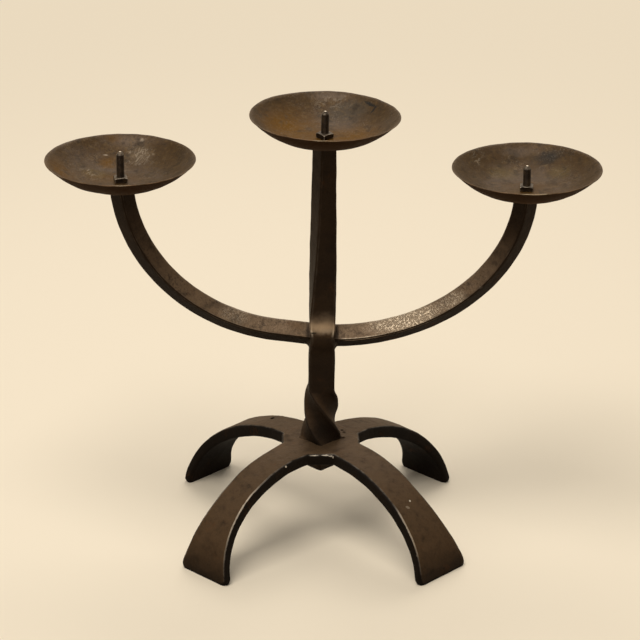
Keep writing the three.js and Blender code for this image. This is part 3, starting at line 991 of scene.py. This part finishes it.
@dataclass
class Stem:
    """The square stem with its twist, its eye and its tail through the foot."""

    nodes: Nodes
    finish: BarIron
    reworking: Reworking = Reworking(smooth_steps=2, fullness=mm(0.35))
    planishing: Hammering = Hammering(Dent.HAMMER_FACE, mm(10), mm(0.25))
    waves: Hammering = Hammering(Dent.WAVE, mm(18), mm(0.3))
    lip: float = mm(1.9)  # how far the shoulder's lower right edge is beaten out
    lip_rise: float = mm(1.0)
    small_lip: float = mm(1.9) / 3  # and the left one
    small_lip_rise: float = mm(0.6)
    lip_width: float = mm(1.5)  # of the metal that is beaten out
    lip_height: float = mm(0.8)

    def beat_lip(self, piece: bpy.types.Object, outward: int, out: float, up: float) -> None:
        """Beats out the shoulder's lower edge on one side.

        Args:
            piece: The stem.
            outward: 1 for the right side, -1 for the left.
            out: How far the edge goes out.
            up: How far it goes up.
        """
        low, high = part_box("stem")
        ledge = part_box("foot_cross")[1].z
        inner = (high.x if outward > 0 else -low.x) - self.lip_width
        top = ledge + self.lip_height
        with editing_where(piece, lambda place: place.x * outward > inner and ledge < place.z < top):
            bpy.ops.transform.translate(value=(out * outward, 0, up))

    def build(self) -> None:
        """Forges and dresses the stem."""
        piece = self.reworking.copy(self.nodes["stem"], "twisted_stem")
        self.beat_lip(piece, 1, self.lip, self.lip_rise)
        self.beat_lip(piece, -1, self.small_lip, self.small_lip_rise)
        self.reworking.refine(piece)
        self.waves.strike(piece)
        self.planishing.strike(piece)
        settle(piece, ("stem",), self.finish.material())


@dataclass
class Arms:
    """The square bar that is bent to both arms."""

    nodes: Nodes
    finish: BarIron
    reworking: Reworking = Reworking(smooth_steps=3, fullness=mm(0.4))
    planishing: Hammering = Hammering(Dent.HAMMER_FACE, mm(9), mm(0.2))
    waves: Hammering = Hammering(Dent.WAVE, mm(16), mm(0.3))

    def build(self) -> None:
        """Forges and dresses the bar."""
        piece = self.reworking.copy(self.nodes["arm_bar"], "bent_arms")
        self.reworking.refine(piece)
        self.waves.strike(piece)
        self.planishing.strike(piece)
        settle(piece, ("arm_bar",), self.finish.material())


@dataclass
class Welds:
    """The hollow beads under the arms, and the one round the stem's tail."""

    nodes: Nodes
    finish: WeldMetal = WeldMetal("Blackened weld metal")
    reworking: Reworking = Reworking(smooth_steps=1, softening=3, grain=mm(0.35))
    ripple: Hammering = Hammering(Dent.WAVE, mm(2.6), mm(0.2))
    length: float = mm(5.4)  # along the arm
    height: float = mm(6.4)  # down the stem
    half_width: float = mm(8)
    bite: float = mm(0.5)  # into the surfaces that it joins
    solid_height: float = mm(3.9)  # of the solid bead that it stands for
    ridge: float = mm(0.6)  # how high the bead rides on the arm's lower edge
    narrowing: float = 0.93  # how nearly the bead runs out to nothing at its ends, up to 1
    arc_steps: int = 8
    stations: int = 16

    def section(self) -> list[Vector]:
        """Gives a bead's section: the corner's two sides and a hollow arc between them.

        Returns:
            Its points, round the corner that the bead fills.
        """
        arc = []
        for i in range(self.arc_steps + 1):
            turn = math.pi / 2 * i / self.arc_steps
            along = self.length * (1 - math.sin(turn))
            down = self.height * (math.cos(turn) - 1)
            arc.append(Vector((along, 0, down)))
        return [
            Vector((-self.bite, 0, self.bite)),
            Vector((self.length, 0, self.bite)),
            *arc,
            Vector((-self.bite, 0, -self.height)),
        ]

    def arm_bead(self, node: str) -> bpy.types.Object:
        """Draws the bead under an arm along the arm's two lower faces, thinner to both ends.

        Args:
            node: The solid bead.

        Returns:
            The new bead, in its place.
        """
        low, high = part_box(node)
        outward = 1 if low.x > 0 else -1
        corner = Vector((low.x if low.x > 0 else high.x, 0, low.z + self.solid_height))
        places = [self.half_width * (2 * i / self.stations - 1) for i in range(self.stations + 1)]
        lifts = [Vector((0, y, math.hypot(y, self.ridge))) for y in places]
        sizes = [math.sqrt(1 - (self.narrowing * y / self.half_width) ** 2) for y in places]
        section = [Vector((p.x * outward, 0, p.z)) * sizes[0] for p in self.section()]
        bead = draw_line(f"{node}_bead", [corner + point + lifts[0] for point in section])
        with editing(bead):
            bpy.ops.mesh.edge_face_add()
            for (lift, next_lift), (size, next_size) in zip(pairwise(lifts), pairwise(sizes)):
                ratio = next_size / size
                bpy.ops.mesh.extrude_region()
                bpy.ops.transform.resize(value=(ratio, 1, ratio), center_override=corner + lift)
                bpy.ops.transform.translate(value=next_lift - lift)
            bpy.ops.mesh.select_all(action="SELECT")
            bpy.ops.mesh.normals_make_consistent(inside=False)
        return bead

    def build(self) -> None:
        """Lays and dresses the beads."""
        material = self.finish.material()
        tail_bead = self.reworking.copy(self.nodes["foot_weld"], "foot_weld_bead")
        beads = {node: self.arm_bead(node) for node in ("arm_weld_left", "arm_weld_right")}
        for node, bead in (beads | {"foot_weld": tail_bead}).items():
            self.reworking.refine(bead)
            self.ripple.strike(bead)
            settle(bead, (node,), material)


class Side(Enum):
    """The three candle places."""

    LEFT = "left"
    CENTRE = "centre"
    RIGHT = "right"


@dataclass(frozen=True)
class Place:
    """Where a candle place is, and how tall its spike stands above the pan's floor."""

    x: float  # of the spike's axis
    rim: float  # height of the pan's rim
    tilt_deg: float  # towards the right
    spike: float


PLACES = {
    Side.LEFT: Place(x=mm(-141.5), rim=mm(282.0), tilt_deg=-0.2, spike=mm(22)),
    Side.CENTRE: Place(x=0, rim=mm(314.5), tilt_deg=0.5, spike=mm(19.5)),
    Side.RIGHT: Place(x=mm(141.5), rim=mm(276.3), tilt_deg=-0.5, spike=mm(18)),
}


def put(piece: bpy.types.Object, place: Place) -> None:
    """Puts a piece that is built round the z axis on a place's seat, its place in its mesh.

    Args:
        piece: The piece, with z = 0 at the pan's underside.
        place: Where it goes.
    """
    piece.location = (place.x, 0, place.rim - DripPans.depth)
    piece.rotation_euler = (0, math.radians(place.tilt_deg), 0)
    choose(piece)
    bpy.ops.object.transform_apply(location=True, rotation=True, scale=True)


@dataclass
class DripPans:
    """The three dished pans: turned once, copied to their places, and each hammered there."""

    diameter: float = mm(104.99)
    depth: float = mm(18.1)
    sheet: float = mm(1.7)
    rim_sheet: float = mm(0.9)
    rim_rounding: tuple[float, float, float] = (0.3, 0.25, 0.2)  # down, out and in, of the rim's sheet
    flat_radius: float = mm(11.96)
    hole_radius: float = mm(2.8)
    wall_ease: float = 2.35  # power by which the wall rises: flat at first, then steeper
    rings: int = 34
    floor_rings: int = 6
    sectors: int = 160
    shade_angle_deg: float = 50
    dents: Hammering = Hammering(Dent.HAMMER_FACE, mm(9), mm(0.35), direction="Z")
    waves: Hammering = Hammering(Dent.WAVE, mm(26), mm(0.8), direction="Z")

    def underside(self) -> list[Vector]:
        """Gives the points of the wall's underside, from the flat floor to the rim.

        Returns:
            Radius and height of each point.
        """
        wall = self.diameter / 2 - self.flat_radius
        shares = [i / self.rings for i in range(self.rings + 1)]
        return [
            Vector((self.flat_radius + wall * share, self.depth * share**self.wall_ease))
            for share in shares
        ]

    def outline(self) -> list[tuple[float, float]]:
        """Gives the pan's section: out along its underside, over the rim, back along its inside.

        Returns:
            Radius and height of each ring, the last one on the first.
        """
        outer = self.underside()
        inner = []
        for i, point in enumerate(outer):
            along = (outer[min(i + 1, self.rings)] - outer[max(i - 1, 0)]).normalized()
            sheet = self.sheet + (self.rim_sheet - self.sheet) * i / self.rings
            inner.append(point + sheet * Vector((-along.y, along.x)))
        rim_top = outer[-1].y
        down, out, back = (self.rim_sheet * share for share in self.rim_rounding)
        edge = [
            Vector((outer[-1].x, rim_top - down)),
            Vector((outer[-1].x - out, rim_top)),
            Vector((inner[-1].x + back, rim_top)),
        ]
        floor = self.flat_radius - self.hole_radius
        floor_radii = [
            self.hole_radius + floor * i / self.floor_rings for i in range(self.floor_rings)
        ]
        under = [(radius, 0.0) for radius in floor_radii]
        over = [(radius, self.sheet) for radius in reversed(floor_radii)]
        wall = [(p.x, p.y) for p in outer[:-1] + edge]
        inside = [(p.x, p.y) for p in reversed(inner[:-1])]
        return under + wall + inside + over + under[:1]

    def build(self, materials: dict[Side, bpy.types.Material]) -> None:
        """Raises the pans and puts each in its place.

        Args:
            materials: The finish of each pan.
        """
        blank = turn_shell("pan_blank", self.outline(), self.sectors)
        for side, place in PLACES.items():
            pan = bpy.data.objects.new(f"pan_{side.value}", blank.data.copy())
            bpy.context.scene.collection.objects.link(pan)
            put(pan, place)
            self.waves.strike(pan)
            self.dents.strike(pan)
            shade_smooth(pan, self.shade_angle_deg)
            settle(pan, (f"drip_pan_{side.value}",), materials[side])
        bpy.data.objects.remove(blank)


@dataclass
class Fixings:
    """Spikes and nuts that hold the pans: one thread, cut to length for each place."""

    nodes: Nodes
    thread_finish: ThreadedSteel = ThreadedSteel(
        "Darkened threaded steel", edge_level=0.58, wear_and_glint=0.15, top_wear_and_glint=0.9
    )
    nut_finish: ThreadedSteel = ThreadedSteel(
        "Darkened steel nuts", edge_level=0.505, wear_and_glint=1.0, top_wear_and_glint=0.1
    )
    radius: float = mm(2.78)
    pitch: float = mm(0.8)
    thread_depth: float = mm(0.35)
    spare_turns: int = 2  # of thread at each end, to be cut off
    bite: float = mm(9)  # of the spike below the pan
    point_length: float = mm(2.5)
    point_radius: float = mm(1.1)
    point_rounding: float = 0.4  # share of the point's radius
    blank_width: float = 1.1  # of the straight part, in radii, so that it leaves the thread whole
    sectors: int = 24
    shade_angle_deg: float = 35
    cut_precision: float = 1e-7  # distance at which a point lies on a cut
    nut_reworking: Reworking = Reworking(smooth_steps=1, softening=2, grain=mm(0.28))
    nut_wear: Hammering = Hammering(Dent.WAVE, mm(3), mm(0.25))
    nut_bore: float = mm(3.4)  # with the rim round it, which stays as it is
    nut_spread: float = 1.12
    nut_flatness: float = 0.86

    def nut(self, side: Side) -> bpy.types.Object:
        """Makes a worn nut, a little wider and flatter than its solid.

        Args:
            side: The candle place that it belongs to.

        Returns:
            The nut, at its place.
        """
        node = f"pan_nut_{side.value}"
        nut = self.nut_reworking.copy(self.nodes[node], f"nut_{side.value}")
        self.nut_reworking.refine(nut)
        low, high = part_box(node)
        foot = Vector(((low.x + high.x) / 2, (low.y + high.y) / 2, low.z))
        spread = (self.nut_spread, self.nut_spread, 1)
        with editing_where(nut, lambda place: (place.xy - foot.xy).length > self.nut_bore):
            bpy.ops.transform.resize(value=spread, center_override=foot)
        with editing(nut):
            bpy.ops.transform.resize(value=(1, 1, self.nut_flatness), center_override=foot)
        self.nut_wear.strike(nut)
        return nut

    def thread(self) -> bpy.types.Object:
        """Cuts a thread that is longer than any spike.

        Returns:
            The threaded rod, round the z axis and open at both ends.
        """
        longest = max(place.spike for place in PLACES.values()) + DripPans.sheet
        turns = math.ceil((longest + self.bite) / self.pitch) + 2 * self.spare_turns
        start = -self.bite - self.spare_turns * self.pitch
        root = self.radius - self.thread_depth
        tooth = ((root, 0.0), (self.radius, 0.44), (self.radius, 0.5), (root, 0.94), (root, 1.0))
        points = [Vector((radius, 0, start + self.pitch * share)) for radius, share in tooth]
        rod = draw_line("thread", points)
        apply_modifier(
            rod,
            "SCREW",
            screw_offset=self.pitch,
            iterations=turns,
            steps=self.sectors,
            render_steps=self.sectors,
        )
        with editing(rod):
            bpy.ops.mesh.remove_doubles(threshold=MERGE_DISTANCE)
        return rod

    def blank(self, tip: float) -> bpy.types.Object:
        """Turns the body that a spike is cut to: straight, with a blunt point.

        Args:
            tip: Height of the point above the pan's underside.

        Returns:
            The blank, round the z axis.
        """
        wide = self.radius * self.blank_width
        slope = (self.radius - self.point_radius) / self.point_length
        shoulder = tip - self.point_length - (wide - self.radius) / slope
        rounding = self.point_radius * self.point_rounding
        outline = [
            (wide, -self.bite),
            (wide, shoulder),
            (self.point_radius + rounding * slope, tip - rounding),
            (self.point_radius - rounding, tip),
        ]
        return turn_shell("spike_blank", outline, self.sectors)

    def spike(self, side: Side, rod: bpy.types.Object) -> bpy.types.Object:
        """Cuts a spike from the threaded rod.

        Args:
            side: The candle place that it belongs to.
            rod: The rod, which is left as it is.

        Returns:
            The spike, at its place.
        """
        place = PLACES[side]
        spike = bpy.data.objects.new(f"spike_{side.value}_thread", rod.data.copy())
        bpy.context.scene.collection.objects.link(spike)
        tip = DripPans.sheet + place.spike
        with editing(spike):
            for height, is_lower_end in ((-self.bite, True), (tip, False)):
                bpy.ops.mesh.select_all(action="SELECT")
                bpy.ops.mesh.bisect(
                    plane_co=(0, 0, height + self.pitch / 2),
                    plane_no=(0, 0, 1),
                    clear_inner=is_lower_end,
                    clear_outer=not is_lower_end,
                    use_fill=True,
                    threshold=self.cut_precision,
                )
            bpy.ops.mesh.select_all(action="SELECT")
            bpy.ops.mesh.normals_make_consistent(inside=False)
        blank = self.blank(tip)
        apply_modifier(spike, "BOOLEAN", operation="INTERSECT", solver="EXACT", object=blank)
        bpy.data.objects.remove(blank)
        put(spike, place)
        shade_smooth(spike, self.shade_angle_deg)
        return spike

    def build(self) -> None:
        """Cuts the spikes, copies the nuts, and dresses them."""
        thread_material = self.thread_finish.material()
        nut_material = self.nut_finish.material()
        rod = self.thread()
        for side in Side:
            settle(self.spike(side, rod), (f"spike_{side.value}",), thread_material)
            settle(self.nut(side), (f"pan_nut_{side.value}",), nut_material)
        bpy.data.objects.remove(rod)


# The studio


def seen_directly(tree: bpy.types.NodeTree) -> Link:
    """Gives the mask of rays by which the camera sees a thing, straight or mirrored.

    Args:
        tree: The nodes of a material or of the world.

    Returns:
        1 for those rays and 0 for others.
    """
    rays = add(tree, "ShaderNodeLightPath").outputs
    seen = rays["Is Camera Ray"]
    for kind in ("Is Glossy Ray", "Is Transmission Ray"):
        either = add(tree, "ShaderNodeMath", {"operation": "MAXIMUM"}, {0: seen, 1: rays[kind]})
        seen = either.outputs[0]
    return seen


@dataclass(frozen=True)
class Softbox:
    """A large soft lamp, aimed at the holder."""

    name: str
    place: tuple[float, float, float]
    side: float
    watts: float

    def hang(self, aim: Vector) -> None:
        """Hangs the lamp.

        Args:
            aim: The point that it is turned to.
        """
        lamp = bpy.data.lights.new(self.name, "AREA")
        lamp.shape = "SQUARE"
        lamp.size = self.side
        lamp.energy = self.watts
        holder = bpy.data.objects.new(self.name, lamp)
        holder.location = self.place
        holder.rotation_euler = (aim - Vector(self.place)).to_track_quat("-Z", "Y").to_euler()
        bpy.context.scene.collection.objects.link(holder)


@dataclass
class Studio:
    """A pale floor, soft lamps and the camera."""

    floor_side: float = 60.0
    floor_roughness: float = 0.9
    floor_gloss: float = 0.1
    even_tone_from: float = 0.5  # distance from the holder at which the floor's own shading fades
    even_tone_at: float = 1.5  # and at which it is gone
    pale: str = "#f4e3c7"
    pale_level: float = 0.92  # of the world behind the floor, as bright as the floor is lit
    bounce_colour: str = "#8e693a"
    fill_colour: str = "#ffffff"
    fill_level: float = 0.28
    aim: tuple[float, float, float] = (mm(-1.588), 0, mm(160.909))
    camera_distance: float = mm(2129.747)
    camera_pitch_deg: float = 23.108
    camera_yaw_deg: float = 1.813
    camera_roll_deg: float = 0.763
    lens_mm: float = 168.75
    sensor_mm: float = 36.0
    lamps: tuple[Softbox, ...] = (
        Softbox("Key", (-0.5, -0.7, 2.2), 1.3, 32),
        Softbox("Back", (0.2, 1.2, 1.8), 1.3, 16),
    )

    def floor(self) -> None:
        """Lays the floor, which is pale to look at and throws warm brown light up at the holder.

        Far from the lamps it is seen in the backdrop's own even tone.
        """
        bpy.ops.mesh.primitive_plane_add(size=self.floor_side)
        floor = bpy.context.object
        floor.name = "floor"
        bounce = Coat(self.bounce_colour, self.floor_roughness, 0.0, self.floor_gloss)
        surface = Surface("Matte studio floor", bounce)
        tree = surface.tree
        seen = seen_directly(tree)
        surface.lay(Coat(self.pale, self.floor_roughness, 0.0, self.floor_gloss), seen)
        distance = add(tree, "ShaderNodeVectorMath", {"operation": "LENGTH"}, {0: surface.place})
        far = surface.level(distance.outputs["Value"], self.even_tone_from, self.even_tone_at)
        even = add(
            tree, "ShaderNodeEmission", {"Color": linear(self.pale), "Strength": self.pale_level}
        )
        either = add(
            tree,
            "ShaderNodeMixShader",
            links={0: surface.product(far, seen), 1: surface.shader.outputs[0], 2: even.outputs[0]},
        )
        tree.links.new(either.outputs[0], tree.nodes["Material Output"].inputs["Surface"])
        floor.data.materials.append(surface.material)

    def backdrop(self) -> None:
        """Sets the even light from all round, and the pale backdrop behind the floor."""
        world = bpy.data.worlds.new("Studio")
        world.use_nodes = True
        tree = world.node_tree
        fill = tree.nodes["Background"]
        fill.inputs["Color"].default_value = linear(self.fill_colour)
        fill.inputs["Strength"].default_value = self.fill_level
        pale = add(
            tree, "ShaderNodeBackground", {"Color": linear(self.pale), "Strength": self.pale_level}
        )
        either = add(
            tree,
            "ShaderNodeMixShader",
            links={0: seen_directly(tree), 1: fill.outputs[0], 2: pale.outputs[0]},
        )
        tree.links.new(either.outputs[0], tree.nodes["World Output"].inputs["Surface"])
        bpy.context.scene.world = world

    def camera(self) -> None:
        """Sets up the camera at the pictured angle."""
        data = bpy.data.cameras.new("Camera")
        data.lens = self.lens_mm
        data.sensor_width = self.sensor_mm
        data.clip_end = self.floor_side
        camera = bpy.data.objects.new("Camera", data)
        turn = (
            Matrix.Rotation(-math.radians(self.camera_yaw_deg), 3, "Z")
            @ Matrix.Rotation(math.radians(90 - self.camera_pitch_deg), 3, "X")
            @ Matrix.Rotation(math.radians(self.camera_roll_deg), 3, "Z")
        )
        camera.rotation_euler = turn.to_euler()
        camera.location = Vector(self.aim) + turn.col[2] * self.camera_distance
        bpy.context.scene.collection.objects.link(camera)
        bpy.context.scene.camera = camera

    def build(self) -> None:
        """Sets up the whole studio."""
        self.floor()
        self.backdrop()
        for lamp in self.lamps:
            lamp.hang(Vector(self.aim))
        self.camera()
        bpy.context.scene.view_settings.view_transform = "Standard"


# The marks of the stem, the arms and the pans


def stem_finish() -> BarIron:
    """Gives the finish of the stem, with a painted highlight on the crest of its eye and painted shade
    on the lower twist.

    Returns:
        The finish.
    """
    # Painted highlight where the eye's swelling looks up, with some rubbing
    rubbed_and_glinting = Coat("#ad967a", 0.42, 0.5, 0.3)
    return BarIron(
        "Forged iron stem",
        thin_scale=0.75,
        wear_and_glint=0.05,
        marks=(
            # Blacker from the twist down, and blackest as painted shade on the front of the twist's
            # lower end, beside the foot
            Mark((0, 0, 100), (60, 60, 50), SCALE, 0.5, 8.0, 0.6),
            Mark((0, -12, 78), (14, 10, 14), THICK_SCALE_AND_SHADE, 0.6, 4.0, 0.2),
            # Painted highlight on the crest over the eye, where its swelling looks up, with some
            # rubbing, and a dark nick in it
            Mark((0, -11, 164), (24, 8, 9), rubbed_and_glinting, 0.35, 7.0, 0.0),
            Mark((0, -11, 159.5), (24, 8, 6.5), rubbed_and_glinting, 0.95, 4.0, 0.0),
            Mark((4, -11, 157), (9, 8, 2.2), SCUFF, 0.35, 3.0, 0.0),
            Mark((-6.4, -10.6, 155.4), (2.8, 3, 0.9), SOOT, 0.9, 1.2),
            Mark((-8.3, -10.4, 156.6), (0.7, 2, 1.3), BARE_IRON_AND_GLINT, 0.7, 0.5),
        ),
        # Wear with painted highlights along the eye's edges
        worn_and_glinting_edges=(Mark((0, -11, 158), (16, 8, 7), BARE_IRON_AND_GLINT, 0.9, 1.5),),
    )


def arm_finish() -> BarIron:
    """Gives the finish of the arms, with their pitted stretches.

    Returns:
        The finish.
    """
    # Painted shade in the gaps where the arms meet the eye
    shade_beside_eye = (
        Mark((side * 10, -4, 150), (2.5, 12, 12), SCALE, 0.7, 1.5) for side in (1, -1)
    )
    return BarIron(
        "Forged iron arms",
        patina_and_top_light=RUBBED_PATINA_AND_TOP_LIGHT,
        wear_and_glint=0.15,
        edge_level=0.516,
        pitted=(
            Mark((62, -4, 162), (40, 9, 18), SCOURED, 0.95, 6.0),
            Mark((92, -5, 177), (16, 7, 12), SCOURED, 0.45, 5.0),
            Mark((-63, -4, 166), (16, 7, 10), SCOURED, 0.22, 5.0),
        ),
        marks=(
            Mark((93.5, -6, 176), (2.0, 1.6, 1.6), BARE_IRON_AND_GLINT, 0.9, 0.8),
            Mark((-17, -3, 158), (9, 8, 8), PATINA_AND_TOP_LIGHT, 0.6, 4.0, 0.0),
            *shade_beside_eye,
        ),
        # Wear with painted highlights along the edges, brightest on the right arm's lower ridge
        worn_and_glinting_edges=(
            Mark((28, -7.5, 151), (18, 4, 5), BARE_IRON_AND_GLINT, 1.0, 3.0, 0.6),
            Mark((60, 0, 160), (40, 20, 18), BARE_IRON_AND_GLINT, 0.35, 6.0),
            Mark((-60, 0, 165), (40, 20, 20), BARE_IRON_AND_GLINT, 0.2, 6.0),
        ),
    )


def pan_finishes() -> dict[Side, SheetIron]:
    """Gives the finish of each pan, with its own stains and scuffs.

    Returns:
        The finishes.
    """
    olive = Coat("#55431d", 0.55, 0.2, 0.08)
    grey = Coat("#42382b", 0.5, 0.2, 0.15)
    ochre = Coat("#60400f", 0.65, 0.1, 0.04)
    burnt = Coat("#17120b", 0.5, 0.0, 0.15)
    lilac = Coat("#5b4d40", 0.45, 0.4, 0.15)
    # Painted highlight, with some wear, for the fronts of the rims
    rubbed_and_glinting = Coat("#a3957a", 0.4, 0.6, 0.3)
    return {
        Side.LEFT: SheetIron(
            "Dished sheet iron left",
            stains=(
                Mark((-184, -4, 275), (24, 30, 14), ochre, 0.7, 9.0, 0.0),
                Mark((-150, -20, 268), (34, 24, 14), ochre, 0.3, 9.0, 0.0),
                Mark((-160, 12, 267), (13, 10, 6), olive, 0.5, 6.0),
                Mark((-138, 46, 280), (24, 9, 9), lilac, 0.6, 7.0, 0.0),
            ),
            marks=(
                Mark((-151.7, 29.5, 268.5), (10, 10, 8), ochre, 0.7, 6.0, 0.0),
                Mark((-149, 48.9, 280), (9, 5, 5), ochre, 0.4, 5.0, 0.0),
                Mark((-148, 6, 268), (36, 17, 12), ochre, 0.4, 9.0, 0.0),
                Mark((-128, 36, 272), (14, 12, 9), SCUFF, 0.14, 5.0, 0.0),
                Mark((-127.9, 46.5, 279.6), (2.2, 2.2, 2.2), SCUFF, 0.45, 1.5, 0.0),
                Mark((-153.1, 36.4, 271.8), (2.6, 1.0, 1.0), SCUFF, 0.45, 0.6),
                # Painted highlight, with some wear, on the front of the rim
                Mark((-138, -52, 281.7), (9, 1.4, 1.6), rubbed_and_glinting, 0.45, 1.5, 0.2),
            ),
            scuffed=(
                Mark((-129, 34, 272), (17, 14, 9), SCUFF, 0.3, 4.0),
                Mark((-165, 14, 267), (9, 7, 5), SCUFF, 0.3, 4.0),
            ),
        ),
        Side.CENTRE: SheetIron(
            "Dished sheet iron centre",
            stains=(
                Mark((-26, 14, 302), (40, 34, 18), ochre, 1.0, 12.0, 0.0),
                Mark((-20, -12, 300), (40, 24, 14), ochre, 0.9, 12.0, 0.0),
                Mark((20, 0, 299), (34, 28, 14), ochre, 0.9, 9.0, 0.0),
                Mark((18.5, 35.8, 305.4), (24, 15, 12), grey, 0.7, 8.0),
            ),
            marks=(
                Mark((0, 6, 300), (38, 17, 12), ochre, 0.35, 9.0, 0.0),
                Mark((3.3, 48.6, 312.3), (18, 6, 5), lilac, 0.45, 5.0),
                Mark((32.9, 34.3, 310), (8, 1.3, 14), burnt, 1.0, 2.0, 0.4, -48),
                Mark((35, 28.9, 309), (4, 1.2, 14), burnt, 1.0, 1.5, 0.4, 40),
                # Painted highlight, with some wear, on the front of the rim
                Mark((-2, -52.2, 314.2), (20, 1.4, 1.6), rubbed_and_glinting, 0.4, 1.5, 0.2),
            ),
            scuffed=(Mark((6, 44, 309), (22, 10, 7), SCUFF, 0.14, 4.0),),
        ),
        Side.RIGHT: SheetIron(
            "Dished sheet iron right",
            stains=(
                Mark((126.5, 26.4, 262.4), (16, 12, 7), olive, 0.6, 7.0, 0.1),
                Mark((165.7, 22, 265.5), (14, 11, 7), olive, 0.6, 6.0, 0.1),
                Mark((145, -18, 265), (44, 28, 16), ochre, 0.65, 9.0, 0.0),
                Mark((134, 46, 274), (26, 9, 9), lilac, 0.35, 7.0, 0.0),
            ),
            marks=(
                Mark((144, 6, 264), (36, 17, 12), ochre, 0.4, 9.0, 0.0),
                Mark((160, 39, 271), (21, 8, 10), burnt, 0.8, 5.0, 0.0),
                # Painted highlight, with some wear, on the front of the rim
                Mark((143, -51.9, 276), (14, 1.4, 1.6), rubbed_and_glinting, 0.7, 1.5, 0.3),
                Mark((138.8, 45.5, 271.3), (16, 6, 5), lilac, 0.4, 5.0),
            ),
            scuffed=(Mark((110, 33, 271), (10, 10, 7), SCUFF, 0.3, 4.0),),
        ),
    }


def main() -> None:
    """Builds the candle holder's looks and the studio."""
    logging.basicConfig(level=logging.INFO, format="%(message)s")
    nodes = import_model()["nodes"]
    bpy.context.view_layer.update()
    bpy.ops.object.select_all(action="DESELECT")
    Foot(nodes).build()
    Stem(nodes, stem_finish()).build()
    Arms(nodes, arm_finish()).build()
    Welds(nodes).build()
    DripPans().build({side: finish.material() for side, finish in pan_finishes().items()})
    Fixings(nodes).build()
    Studio().build()


if __name__ == "__main__":
    main()
